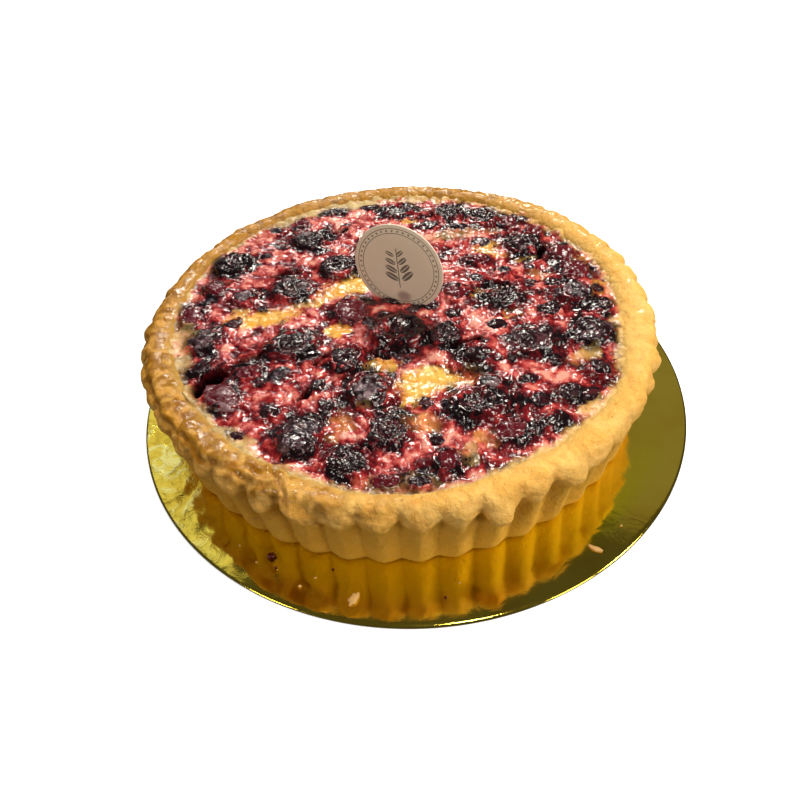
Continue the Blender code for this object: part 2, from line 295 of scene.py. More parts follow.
# Small scraps of berry between the large ones: place, length, width and turn.
SCRAPS = [
    (39, -13, 8, 7, 0),
    (39, 47, 8, 7, 20),
    (83, 9, 6, 6, 0),
    (-67, -4, 7, 6, 40),
    (50, -54, 8, 7, 10),
    (67, -52, 8, 6, 50),
    (-13, 82, 8, 5, 0),
    (58, -35, 6, 6, 0),
    (-47, -54, 8, 7, 60),
    (-24, 66, 6, 5, 0),
    (9, -54, 6, 6, 0),
    (22, -4, 7, 6, 0),
    (16, 64, 9, 7, 10),
    (-57, -65, 6, 4, -30),
    (42, -33, 4, 4, 0),
    (13, 1, 9, 5, 10),
    (55, 14, 9, 5, 10),
    (-52, -39, 6, 5, 0),
    (-56, 4, 5, 4, 0),
    (12, -71, 5, 4, 0),
    (47, -44, 7, 5, 30),
    (60, 66, 7, 5, -40),
    (-60, 44, 6, 5, 0),
    (-30, -42, 6, 5, 60),
    (-26, -54, 7, 5, 60),
    (65, 14, 7, 6, 0),
    (30, 60, 8, 5, 0),
    (-3, 6, 7, 5, 0),
    (-12, -8, 6, 5, 0),
    (6, -1, 8, 5, 20),
]


def paint(red, green, blue):
    """A linear colour from display values of 0 to 255."""
    return tuple(
        value / 255 / 12.92 if value <= 10 else ((value / 255 + 0.055) / 1.055) ** 2.4
        for value in (red, green, blue)
    )


def color_property(name, description, color):
    return FloatVectorProperty(
        name=name, description=description, subtype="COLOR", size=3, min=0.0, max=1.0, default=color
    )


class CrustLook(bpy.types.PropertyGroup):
    """Fineness and colours of the crust."""

    steps_per_flute: IntProperty(
        name="Steps per flute", description="Mesh columns across one flute", default=20, min=8, max=40
    )
    lumps: FloatProperty(
        name="Dough lumps",
        description="Height of the dough's soft lumps",
        default=0.7 * MM,
        min=0.0,
        unit="LENGTH",
    )
    pale: color_property("Pale dough", "Lightly baked dough of the front and right", paint(251, 201, 110))
    golden: color_property("Golden dough", "Evenly baked dough", paint(236, 172, 66))
    amber: color_property("Amber glaze", "Browned and glazed dough of the left rim", paint(142, 94, 4))
    flank: color_property("Side", "Matt dough of the fluted side", paint(220, 164, 62))


class CustardLook(bpy.types.PropertyGroup):
    """Fineness and colours of the custard."""

    steps: IntProperty(
        name="Grid steps", description="Mesh steps across the custard", default=306, min=80, max=312
    )
    foam: FloatProperty(
        name="Foam height",
        description="Height of the baked foam's small lumps",
        default=0.75 * MM,
        min=0.0,
        unit="LENGTH",
    )
    foam_pale: color_property("Pale foam", "Lightest foam", paint(232, 160, 140))
    foam_pink: color_property("Pink foam", "Foam with a little juice", paint(210, 104, 94))
    foam_red: color_property("Red foam", "Foam with much juice", paint(164, 46, 46))
    crimson: color_property("Crimson custard", "Custard stained by berry juice", paint(106, 16, 22))
    yolk: color_property("Yellow custard", "Custard that stayed clear of the juice", paint(238, 170, 60))
    orange: color_property("Orange custard", "Custard with a little juice", paint(230, 150, 84))
    cream: color_property("Pale custard", "Pale baked edge of the custard", paint(200, 172, 104))
    juice: color_property("Juice", "Dark juice round the berries", paint(58, 8, 14))
    # Near-black painted shade inside the cracks.
    pit: color_property("Pits", "Inside of the cracks", paint(16, 3, 6))


class BerryLook(bpy.types.PropertyGroup):
    """Colours of the berries."""

    cherry: color_property("Cherry", "Baked cherry skin", paint(26, 6, 9))
    bramble: color_property("Bramble", "Near-black drupelets", paint(32, 9, 15))
    raspberry: color_property("Raspberry", "Dark red drupelets", paint(88, 10, 22))
    blueberry: color_property("Blueberry", "Blue-black skin", paint(30, 18, 27))
    flesh: color_property("Flesh", "Red flesh that shows through", paint(104, 14, 26))
    film: color_property("Film", "Pale film of foam on the berries", paint(142, 118, 124))


class TrimLook(bpy.types.PropertyGroup):
    """Colours of the card and the tag."""

    foil: color_property("Gold foil", "Foil of the cake card", paint(244, 218, 80))
    board: color_property("Board edge", "Grey-brown board under the foil", paint(88, 70, 72))
    tag: color_property("Tag", "Beige card of the round tag", paint(255, 240, 216))
    ink: color_property("Ink", "Print on the tag", paint(40, 34, 40))


class StageLook(bpy.types.PropertyGroup):
    """Lights and floor."""

    key_power: FloatProperty(
        name="Key light", description="Power of the lamps behind and above", default=8.8, unit="POWER"
    )
    fill_power: FloatProperty(
        name="Fill light",
        description="Power of the lamps at the right and in front",
        default=4.8,
        unit="POWER",
    )
    sky: FloatProperty(name="Sky", description="Strength of the studio's own light", default=0.07, min=0.0)
    floor: color_property("Floor", "Pale floor", (0.92, 0.92, 0.92))


class Wire:
    """A number, colour or vector between two nodes. Arithmetic on it adds Math nodes."""

    def __init__(self, finish, socket):
        self.finish = finish
        self.socket = socket

    def math(self, operation, *values, clamp=False):
        settings = {"operation": operation, "use_clamp": clamp}
        return self.finish.node("ShaderNodeMath", settings, dict(enumerate(values)))

    def __add__(self, other):
        return self.math("ADD", self, other)

    def __radd__(self, other):
        return self.math("ADD", other, self)

    def __sub__(self, other):
        return self.math("SUBTRACT", self, other)

    def __rsub__(self, other):
        return self.math("SUBTRACT", other, self)

    def __mul__(self, other):
        return self.math("MULTIPLY", self, other)

    def __rmul__(self, other):
        return self.math("MULTIPLY", other, self)

    def __pow__(self, other):
        return self.math("POWER", self, other)

    def clamped(self):
        return self.math("ADD", self, 0.0, clamp=True)

    def absolute(self):
        return self.math("ABSOLUTE", self)

    def or_more(self, other):
        return self.math("MAXIMUM", self, other)

    def between(self, low, high):
        """0 at low, 1 at high, with a smooth step between them. Low may be the larger."""
        start, end = (low, high) if low < high else (high, low)
        values = {"Value": self, "From Min": start, "From Max": end}
        settings = {"interpolation_type": "SMOOTHSTEP"}
        step = self.finish.node("ShaderNodeMapRange", settings, values)
        return step if low < high else 1.0 - step


class Finish:
    """A material in the making: a Principled BSDF, and one method for every other node."""

    def __init__(self, name, **constants):
        """The constants go by the names of the shader's sockets, such as coat_roughness."""
        self.material = bpy.data.materials.new(name)
        self.material.use_nodes = True
        self.tree = self.material.node_tree
        self.shader = self.tree.nodes["Principled BSDF"]
        for key, value in constants.items():
            self.shader.inputs[key.replace("_", " ").title().replace("Ior", "IOR")].default_value = value
        self.place = self.node("ShaderNodeTexCoord", output="Object")

    def node(self, kind, settings=None, values=None, output=0):
        """Add a node with its settings and its inputs' values, and give back one of its outputs."""
        added = self.tree.nodes.new(kind)
        for key, value in (settings or {}).items():
            if key == "stops":
                self.set_stops(added.color_ramp.elements, value)
            else:
                setattr(added, key, value)
        for key, value in (values or {}).items():
            self.plug(added.inputs[key], value)
        return Wire(self, added.outputs[output])

    def set_stops(self, elements, stops):
        while len(elements) < len(stops):
            elements.new(1.0)
        for element, (position, color) in zip(elements, stops):
            element.position = position
            element.color = (*color, 1.0)

    def ramp(self, value, stops):
        """A colour read from a scale of colours."""
        return self.node("ShaderNodeValToRGB", {"stops": stops}, {"Fac": value})

    def split(self):
        """The three coordinates of the place, as numbers."""
        parts = self.node("ShaderNodeSeparateXYZ", {}, {"Vector": self.place}).socket.node.outputs
        return [Wire(self, parts[axis]) for axis in "XYZ"]

    def plug(self, socket, value):
        """Link a wire to a socket, or set the socket to a fixed value."""
        if isinstance(value, Wire):
            self.tree.links.new(value.socket, socket)
        elif hasattr(socket.default_value, "__len__") and hasattr(value, "__len__"):
            size = len(socket.default_value)
            socket.default_value = (tuple(value) + (1.0,))[:size]
        else:
            socket.default_value = value

    def drive(self, name, value):
        """Plug a value into one of the shader's own sockets."""
        self.plug(self.shader.inputs[name], value)

    def mask(self, name):
        """A value stored on the mesh's points."""
        return self.node("ShaderNodeAttribute", {"attribute_name": name}, output="Fac")

    def noise(self, size, detail=3.0, roughness=0.5, warp=0.0):
        """Noise with features of the given size in metres, about 0.5 on average."""
        values = {
            "Vector": self.place,
            "Scale": 1.0 / size,
            "Detail": detail,
            "Roughness": roughness,
            "Distortion": warp,
        }
        return self.node("ShaderNodeTexNoise", {}, values)

    def cells(self, size):
        """Distance to the nearest of many scattered points, 0 at a point."""
        values = {"Vector": self.place, "Scale": 1.0 / size}
        return self.node("ShaderNodeTexVoronoi", {"feature": "F1"}, values)

    def mix(self, factor, first, second):
        """The first colour where the factor is 0, and the second where it is 1."""
        settings = {"data_type": "RGBA", "blend_type": "MIX", "clamp_factor": True}
        return self.node("ShaderNodeMix", settings, {0: factor, 6: first, 7: second}, output=2)

    def layered(self, color, layers):
        """A colour with others laid over it in turn, each where its mask is high."""
        for mask, over in layers:
            color = self.mix(mask, color, over)
        return color

    def bump(self, height, distance, strength):
        """A normal from a relief: its height is a share of the distance in metres."""
        values = {"Height": height, "Distance": distance, "Strength": strength}
        return self.node("ShaderNodeBump", {}, values)


def noise_at(points, size, seed=0.0):
    """Smooth noise between about -1 and 1 at each point, with features of the given size."""
    scaled = (points / size + seed).reshape(-1, 3)
    return np.array([noise.noise(point) for point in scaled]).reshape(points.shape[:-1])


def folds_at(points, size, seed=0.0):
    """Round pillows with creases between them: 0 in a crease, up to about 1 on a pillow."""
    return np.abs(noise_at(points, size, seed)) * 2.0


def smooth_step(low, high, values):
    share = np.clip((values - low) / (high - low), 0.0, 1.0)
    return share * share * (3.0 - 2.0 * share)


def uneven(angle, places):
    """The sum of round bumps, each largest in its own direction and gone at its half width."""
    total = np.zeros_like(angle)
    for direction, half_width, size in places:
        away = (np.degrees(angle) - direction + 180) % 360 - 180
        total += size * np.clip(1.0 - (away / half_width) ** 2, 0.0, 1.0) ** 2
    return total


def flute(angle):
    """0 in the valleys between the flutes and 1 on their ridges, with softer valleys at the front."""
    turn = np.abs(np.sin((angle - FIRST_VALLEY) * FLUTES / 2))
    soft = uneven(angle, SOFT_FLUTES)
    return turn**0.8 * (1.0 - soft) + turn**2 * soft


def flute_number(angle):
    """Which flute lies in each direction, counted from the first valley."""
    turn = (angle - FIRST_VALLEY) % math.tau
    return (turn / math.tau * FLUTES).astype(int) % FLUTES


def lobe(angle):
    """How far the rim's lobes stand out, one over each flute and each of its own size."""
    draw = random.Random(LOBE_SEED)
    sizes = np.array([draw.uniform(0.5, 1.0) for _ in range(FLUTES)])
    return flute(angle) ** 1.3 * sizes[flute_number(angle)] * (1.0 - uneven(angle, SMOOTH_RIM))


def wave(angle, turns, seed):
    """Slow noise round the tart, with finer waves for a larger number of turns."""
    places = np.stack([turns * np.cos(angle), turns * np.sin(angle), np.full_like(angle, seed)], axis=1)
    return noise_at(places, 1.0) * 1.6


def edge_table():
    """Radius at which the custard meets the crust, for each degree."""
    angles = np.radians(np.arange(0.0, 360.0))
    return angles, FILLING_RADIUS + uneven(angles, EDGE_SWELLS) + FILLING_WANDER * wave(angles, 3.0, 4.0)


EDGE_ANGLES, EDGE_RADII = edge_table()


def filling_edge(angle):
    """The same radius in any direction, read from the table."""
    return np.interp(angle % math.tau, EDGE_ANGLES, EDGE_RADII, period=math.tau)


def custard_level(x, y):
    """Height of the custard's top over the tart's base, before foam and cracks."""
    share = np.minimum(1.0, np.hypot(x, y) / FILLING_RADIUS)
    places = np.stack([x / SWELL_SIZE, y / SWELL_SIZE, np.full_like(x, 2.0)], axis=1)
    swell = noise_at(places, 1.0)
    return CUSTARD_LEVEL + CUSTARD_DOME * (1.0 - share**3) + CUSTARD_SWELL * swell * (1.0 - share**6)


def level_at(x, y):
    return float(custard_level(np.array([x]), np.array([y]))[0])


def in_ellipse(x, y, place):
    """How far each point lies from an ellipse's middle: 1 on its edge. The place is in millimetres."""
    centre_x, centre_y, length, width, turn = place[:5]
    turn = math.radians(turn)
    away_x = x - centre_x * MM
    away_y = y - centre_y * MM
    along = away_x * math.cos(turn) + away_y * math.sin(turn)
    across = away_y * math.cos(turn) - away_x * math.sin(turn)
    return np.hypot(along / (length / 2 * MM), across / (width / 2 * MM))


def ring_faces(rows, columns):
    """Quads between rows of points that each close round."""
    row = np.arange(rows - 1)[:, None] * columns
    column = np.arange(columns)[None, :]
    after = (column + 1) % columns
    corners = [row + column, row + after, row + columns + after, row + columns + column]
    quads = [np.broadcast_to(corner, (rows - 1, columns)) for corner in corners]
    return np.stack(quads, axis=2).reshape(-1, 4)


def fan_faces(centre, ring):
    """Triangles from a centre point to a closed ring of points."""
    return np.stack([np.full_like(ring, centre), ring, np.roll(ring, -1)], axis=1)


def new_piece(name, points, faces, finish, masks=None):
    """A smooth object with its faces pointing out, its material and its stored values."""
    mesh = bpy.data.meshes.new(name)
    mesh.from_pydata(np.asarray(points).tolist(), [], faces)
    for key, values in (masks or {}).items():
        stored = mesh.attributes.new(key, "FLOAT", "POINT")
        stored.data.foreach_set("value", np.asarray(values, dtype=np.float32))
    form = bmesh.new()
    form.from_mesh(mesh)
    bmesh.ops.recalc_face_normals(form, faces=form.faces)
    form.to_mesh(mesh)
    form.free()
    mesh.shade_smooth()
    mesh.materials.append(finish.material)
    piece = bpy.data.objects.new(name, mesh)
    bpy.context.scene.collection.objects.link(piece)
    return piece


def joined_piece(name, parts, finish):
    """One piece from several parts, each its points, faces and stored values."""
    points, faces = [], []
    masks = {key: [] for key in parts[0][2]}
    first = 0
    for some, joined, values in parts:
        points.append(some)
        faces += [[corner + first for corner in face] for face in joined]
        first += len(some)
        for key, value in values.items():
            masks[key].append(value)
    masks = {key: np.concatenate(value) for key, value in masks.items()}
    return new_piece(name, np.concatenate(points), faces, finish, masks)


def settle(piece, slot, *nodes):
    """The piece rides on the root body and stands for its solids; the slot is not used."""
    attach(piece, "root")
    if nodes:
        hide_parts(*nodes)


def normals_of(grid):
    """Outward normals of a grid of points whose columns close round."""
    along = np.gradient(grid, axis=0)
    across = np.roll(grid, -1, axis=1) - np.roll(grid, 1, axis=1)
    normal = np.cross(along, across)
    return normal / np.maximum(np.linalg.norm(normal, axis=2, keepdims=True), 1e-12)


# Mesh steps from each of the crust's control rows to the next, the crest's place among those rows,
# and how many times the profile is averaged to round it.
CRUST_STEPS = (1, 4, 7, 7, 7, 7, 6, 8, 30, 3)
CREST_ROW = 4
ROUNDING_PASSES = 14
# Seams in the dough: points of direction in degrees and distance out from the crest, then width and depth.
SEAMS = [
    ([(242.5, -7), (244.0, -3), (246.5, -0.5), (248, 3), (248.5, 6)], 0.8, 0.9),
    ([(252.5, 4), (252.0, 8), (253.5, 11)], 0.6, 0.3),
    ([(196, 4), (205, 3), (213, 4.5), (221, 2.5), (229, 3.5), (236, 1), (241, 2), (244, 0)], 1.1, 0.7),
    ([(234, 0), (238, -2.5), (242, -1.5), (244, -4)], 0.8, 0.7),
    ([(236, 30), (238.5, 28.6), (240, 29.4), (242, 28.4)], 0.5, 0.7),
]
# Round nubs of dough: direction, distance out from the crest, radius and height in millimetres.
NUBS = [
    (253.5, 15.0, 1.5, 1.6),
    (249.0, 8.0, 3.4, 1.2),
    (262.0, 12.0, 3.0, 0.9),
    (287.0, 9.5, 3.4, 1.9),
    (291.0, 8.0, 2.2, 1.2),
    (305.0, 9.0, 3.6, 1.6),
    (313.0, 6.0, 4.2, 1.5),
    (321.0, 10.0, 3.2, 1.6),
    (327.0, 7.0, 3.8, 1.4),
    (334.0, 9.0, 3.0, 1.5),
    (342.0, 7.0, 3.6, 1.1),
    (232.0, 8.0, 3.5, 0.9),
    (223.0, 9.0, 3.5, 0.9),
]


def crust_rows():
    """Control rows from the hidden floor inside, over the crest, down to the base: radius, height,
    the shares of flute, lobe and filling edge, and how puffed the dough is."""
    rim_width = CREST_RADIUS - FILLING_RADIUS
    return [
        (FLOOR_RADIUS, FLOOR_THICKNESS, 0, 0, 0, 0.0),
        (FILLING_RADIUS, CUSTARD_LEVEL - 4.0 * MM, 0, 0, 1, 0.3),
        (FILLING_RADIUS, CUSTARD_LEVEL, 0, 0, 1, 0.4),
        (FILLING_RADIUS + 0.35 * rim_width, CREST_HEIGHT - 1.0 * MM, 0, 0, 0.6, 0.7),
        (CREST_RADIUS, CREST_HEIGHT, 0, 0.15, 0.15, 1.0),
        (RIM_RADIUS - 0.8 * MM, CREST_HEIGHT - 2.0 * MM, 0, 0.45, 0, 1.0),
        (RIM_RADIUS, RIM_HEIGHT, 0, 1, 0, 1.0),
        (RIM_RADIUS - 1.7 * MM, RIM_HEIGHT - 3.2 * MM, 1.0, 0.6, 0, 0.8),
        (UNDER_RIM_RADIUS, UNDER_RIM_HEIGHT, 1.3, 0.4, 0, 0.35),
        (BASE_RADIUS + 0.3 * MM, 0.8 * MM, 0.9, 0, 0, 0.2),
        (BASE_RADIUS - 0.6 * MM, 0.0, 0.8, 0, 0, 0.0),
    ]


def crust_control_row(row, angle):
    """Radius and height of one control row in each direction."""
    radius, height, flute_share, lobe_share, edge_share, _ = row
    out = flute_share * FLUTE_DEPTH * flute(angle)
    out += lobe_share * (LOBE_DEPTH * lobe(angle) + uneven(angle, DOUGH_BULGES))
    out += edge_share * (filling_edge(angle) - FILLING_RADIUS)
    crest_share = min(1.0, lobe_share * 4)
    level = height + crest_share * (CREST_WAVE * wave(angle, 4.0, 9.0) + uneven(angle, CREST_SWELLS))
    if height <= RIM_HEIGHT:
        level = level - lobe_share * (LOBE_DROOP * lobe(angle) + uneven(angle, DOUGH_DROPS))
    return radius + out, level


def between_rows(values):
    """Fill in the steps between control rows, along the first axis."""
    filled = []
    for number, steps in enumerate(CRUST_STEPS):
        for step in range(steps):
            share = step / steps
            filled.append(values[number] * (1 - share) + values[number + 1] * share)
    filled.append(values[-1])
    return np.array(filled)


def rounded(grid):
    """Round a grid's profile by averaging each row with its neighbours."""
    for _ in range(ROUNDING_PASSES):
        grid[1:-1] = grid[:-2] * 0.25 + grid[1:-1] * 0.5 + grid[2:] * 0.25
    return grid


def to_seam(degrees, out, seam):
    """Distance in millimetres from each point of the unrolled crust to a seam's line."""
    nearest = np.full_like(out, 1e3)
    per_degree = math.radians(1) * RIM_RADIUS / MM
    for (first_turn, first_out), (last_turn, last_out) in zip(seam, seam[1:]):
        along = np.array([(last_turn - first_turn) * per_degree, last_out - first_out])
        from_x = ((degrees - first_turn + 180) % 360 - 180) * per_degree
        from_y = out - first_out
        share = np.clip((from_x * along[0] + from_y * along[1]) / along.dot(along), 0, 1)
        nearest = np.minimum(nearest, np.hypot(from_x - share * along[0], from_y - share * along[1]))
    return nearest


def flute_creases(angle, out, middle):
    """Narrow creases that run up between the flutes into the rim, and the valleys' own sharp lines."""
    draw = random.Random(CREASE_SEED)
    depths = np.array([draw.uniform(0.4, 1.1) for _ in range(FLUTES)])
    width = math.tau / FLUTES
    to_valley = ((angle - FIRST_VALLEY + width / 2) % width - width / 2) * RIM_RADIUS / MM
    valley = np.round((angle - FIRST_VALLEY) / width).astype(int) % FLUTES
    smooth = 1.0 - 0.8 * uneven(angle, SMOOTH_RIM)
    depth = (depths[valley] * smooth)[None, :]
    reach = smooth_step(-0.5, 3.5, out) * smooth_step(20.0, 9.0, out)
    wander = to_valley[None, :] + 0.7 * middle * smooth_step(26.0, 8.0, out)
    crease = np.exp(-(wander**2) / 1.9) * depth * reach
    valley_line = np.exp(-np.abs(wander) / 1.5) * smooth_step(2.0, 8.0, out) * smooth_step(44.0, 34.0, out)
    return crease, valley_line


def seams_and_nubs(degrees, out, broad, middle):
    """How far the dough stands out at its seams and nubs, and how near a seam each point is."""
    rise = np.zeros_like(out)
    seams = np.zeros_like(out)
    for line, seam_width, seam_depth in SEAMS:
        away = to_seam(degrees + 0.7 * middle, out + 0.8 * broad, line)
        cut = np.exp(-((away / seam_width) ** 2))
        lip = np.exp(-(((away - 2.2 * seam_width) / (1.2 * seam_width)) ** 2))
        rise += (0.35 * lip - cut) * seam_depth * MM
        seams = np.maximum(seams, cut)
    for direction, distance, size, height in NUBS:
        away = to_seam(degrees, out, [(direction, distance), (direction, distance + 0.1)]) + 0.4 * middle
        rise += height * MM * np.exp(-((away / size) ** 2))
    return rise, seams


def crust_masks(angle, out, broad, middle):
    """Where the dough is glazed, washed, pale, browned at the back, matt, inside or stained."""

    def facing(direction, half_width, size):
        return np.clip(uneven(angle, [(direction, half_width, size)]), 0, 1)[None, :]

    top = smooth_step(-8.0, -4.0, out) * smooth_step(8.0, 3.5, out + 2.0 * broad)
    patchy = smooth_step(-0.45, 0.25, middle + 0.5 * broad)
    inner_edge = np.exp(-(((out + 0.6 - 0.8 * broad) / 1.4) ** 2))
    everywhere = np.ones_like(out)
    return {
        "amber": facing(205, 88, 1.5) * top * (0.35 + 0.65 * patchy),
        "wash": facing(35, 75, 1.6) * inner_edge * (0.5 + 0.5 * patchy),
        "pale": facing(320, 120, 1.3) * everywhere,
        "back": facing(105, 95, 1.4) * everywhere,
        "flank": smooth_step(9.0, 15.0, out + 1.5 * broad),
        "inner": smooth_step(-3.5, -6.5, out + broad),
        "stain": smooth_step(-6.5, -9.0, out + 1.5 * middle),
    }


def crust_surface(look):
    """Grid of the crust's points in the tart's place, and the values its material reads."""
    columns = FLUTES * look.steps_per_flute
    angle = (FIRST_VALLEY + np.arange(columns) / columns * math.tau) % math.tau
    rows = crust_rows()
    radii, levels = zip(*(crust_control_row(row, angle) for row in rows))
    radius = rounded(between_rows(np.array(radii)))
    level = rounded(between_rows(np.array(levels)))
    puff = between_rows(np.array([row[-1] for row in rows]))[:, None]
    grid = np.stack([radius * np.cos(angle), radius * np.sin(angle), level], axis=2)

    # Each point of the unrolled crust: its direction, and millimetres along the dough from the crest.
    steps = np.hypot(np.diff(radius.mean(axis=1)), np.diff(level.mean(axis=1)))
    length = np.concatenate([[0.0], np.cumsum(steps)]) / MM
    crest = sum(CRUST_STEPS[:CREST_ROW])
    out = np.broadcast_to((length - length[crest])[:, None], radius.shape)
    degrees = np.broadcast_to(np.degrees(angle)[None, :], radius.shape)

    broad = noise_at(grid, BROAD_LUMP, 3.0)
    middle = noise_at(grid, MIDDLE_LUMP, 7.0)
    fine = noise_at(grid, FINE_LUMP, 11.0)
    knobs = folds_at(grid, KNOB_SIZE, 15.0) - 0.4
    knobby = 0.35 + 0.65 * (1.0 - uneven(angle, SMOOTH_RIM))
    rise = look.lumps * puff * (0.8 * broad + 0.7 * knobs * knobby + 0.5 * middle + 0.35 * fine)
    crease, valley_line = flute_creases(angle, out, middle)
    sharp = 0.25 + 0.65 * uneven(angle, SHARP_FLUTES)[None, :]
    rise = rise - (0.5 * crease + sharp * valley_line) * MM
    seam_rise, seams = seams_and_nubs(degrees, out, broad, middle)
    grid = grid + normals_of(grid) * (rise + seam_rise)[:, :, None]

    masks = crust_masks(angle, out, broad, middle)
    # The crease mask carries painted shade into the creases, the flute valleys and the seams.
    masks["crease"] = np.clip(crease * 0.6 + valley_line * 0.3 + 0.8 * seams, 0, 1)
    return grid, masks


def crust_finish(look):
    """Baked shortcrust: mottled dough, amber glaze with fine pits, matt flanks with floury mottling, and
    painted shade in its creases.
    """
    crust = Finish(
        "baked_shortcrust",
        specular_ior_level=0.25,
        coat_roughness=0.08,
        subsurface_weight=0.08,
        subsurface_radius=(0.004, 0.002, 0.001),
        subsurface_scale=0.5,
    )
    cloud = crust.noise(9 * MM, detail=4.0, warp=0.6)
    grain = crust.noise(1.3 * MM, detail=4.0, roughness=0.65)
    sand = crust.noise(0.45 * MM, detail=2.0)
    browned = crust.noise(4.2 * MM, detail=5.0, roughness=0.6, warp=1.0).between(0.42, 0.72)
    speck = crust.cells(3.4 * MM).between(0.16, 0.06) * crust.noise(12 * MM).between(0.5, 0.62)
    amber = crust.mask("amber")
    back = crust.mask("back")
    flank = crust.mask("flank")
    pale = crust.mask("pale")
    wash = crust.mask("wash")

    dough = crust.mix(cloud.between(0.38, 0.62) * 0.55 + (1 - pale) * 0.45, look.pale, look.golden)
    wall = crust.mix(cloud.between(0.4, 0.6), paint(168, 134, 54), paint(194, 154, 68))
    wall = crust.mix(pale * 0.9, wall, paint(244, 202, 112))
    oven_side = crust.mix(browned, paint(182, 126, 32), paint(122, 78, 10))
    layers = [
        (flank * (0.75 + 0.25 * cloud), look.flank),
        (crust.mask("inner") * 0.8, wall),
        (crust.mask("stain") * cloud.between(0.45, 0.62) * 0.7, paint(190, 92, 66)),
        (browned * 0.45 * (1 - flank * 0.6) * (1 - pale * 0.8), paint(206, 136, 44)),
        (pale * (1 - flank) * browned * 0.5, paint(238, 168, 74)),
        (amber * (0.84 + 0.16 * browned), look.amber),
        (amber * browned * 0.5, paint(142, 82, 4)),
        (wash * 0.5, paint(250, 206, 120)),
        (back * 0.9, oven_side),
        # Painted shade: darker dough in the creases, flute valleys and seams.
        (crust.mask("crease") * 0.4, paint(140, 84, 20)),
        (speck * 0.6, paint(112, 66, 22)),
        (grain.between(0.5, 0.75) * 0.25 * (1 - amber), paint(250, 214, 140)),
        (sand.between(0.55, 0.35) * 0.12, paint(150, 96, 36)),
    ]
    crust.drive("Base Color", crust.layered(dough, layers))

    gloss = ((amber * 1.2 + wash * 1.2 + back * 0.6) * cloud.between(0.3, 0.5)).clamped()
    crust.drive("Roughness", 0.7 - gloss * 0.58)
    crust.drive("Coat Weight", gloss * 0.2)
    pores = crust.cells(1.1 * MM).between(0.3, 0.12) * cloud.between(0.4, 0.6)
    rough = grain * 0.6 + sand * 0.2 - pores * 0.35
    relief = rough * (1 - gloss * 0.65) + crust.noise(2.0 * MM, detail=2.0) * (0.8 - gloss * 0.45)
    crust.drive("Normal", crust.bump(relief, 0.8 * MM, 0.85))
    return crust


def closed_ring_solid(grid):
    """Points and faces of a grid of closed rows, with a fan at each end."""
    rows, columns = grid.shape[:2]
    first_centre = grid[0].mean(axis=0)
    last_centre = grid[-1].mean(axis=0)
    points = np.concatenate([grid.reshape(-1, 3), [first_centre, last_centre]])
    count = rows * columns
    faces = ring_faces(rows, columns).tolist()
    faces += fan_faces(count, np.arange(columns)).tolist()
    faces += fan_faces(count + 1, np.arange(columns) + (rows - 1) * columns).tolist()
    return points, faces


class CLAFOUTIS_OT_add_crust(bpy.types.Operator):
    """Add the fluted crust with its puffed rim, seams and glaze"""

    bl_idname = "clafoutis.add_crust"
    bl_label = "Add crust"
    bl_options = {"REGISTER", "UNDO"}

    def execute(self, context):
        look = context.scene.clafoutis_crust
        grid, masks = crust_surface(look)
        points, faces = closed_ring_solid(grid + np.array(TART))
        values = {name: np.append(mask.ravel(), [0.0, 0.0]) for name, mask in masks.items()}
        crust = new_piece("baked_crust", points, faces, crust_finish(look), values)
        settle(crust, "baked_shortcrust", "pastry_case")
        return {"FINISHED"}


def disc_grid(steps):
    """A square grid bent onto the unit disc: x, y, its quads, and its outer points in order."""
    line = np.linspace(-1.0, 1.0, steps)
    across, along = np.meshgrid(line, line, indexing="ij")
    wide = np.abs(across) >= np.abs(along)
    safe_across = np.where(np.abs(across) < 1e-9, 1e-9, across)
    safe_along = np.where(np.abs(along) < 1e-9, 1e-9, along)
    radius = np.where(wide, across, along)
    eighth = math.pi / 4
    turn = np.where(wide, eighth * along / safe_across, math.pi / 2 - eighth * across / safe_along)
    index = np.arange(steps * steps).reshape(steps, steps)
    quads = np.stack([index[:-1, :-1], index[1:, :-1], index[1:, 1:], index[:-1, 1:]], axis=2)
    rim = np.concatenate([index[0, :-1], index[:-1, -1], index[-1, :0:-1], index[:0:-1, 0]])
    return (radius * np.cos(turn)).ravel(), (radius * np.sin(turn)).ravel(), quads.reshape(-1, 4), rim


def patch_mask(x, y, patches):
    """The strongest of several soft-edged patches at each point."""
    mask = np.zeros_like(x)
    for *ellipse, strength in patches:
        mask = np.maximum(mask, strength * smooth_step(1.25, 0.6, in_ellipse(x, y, ellipse)))
    return mask


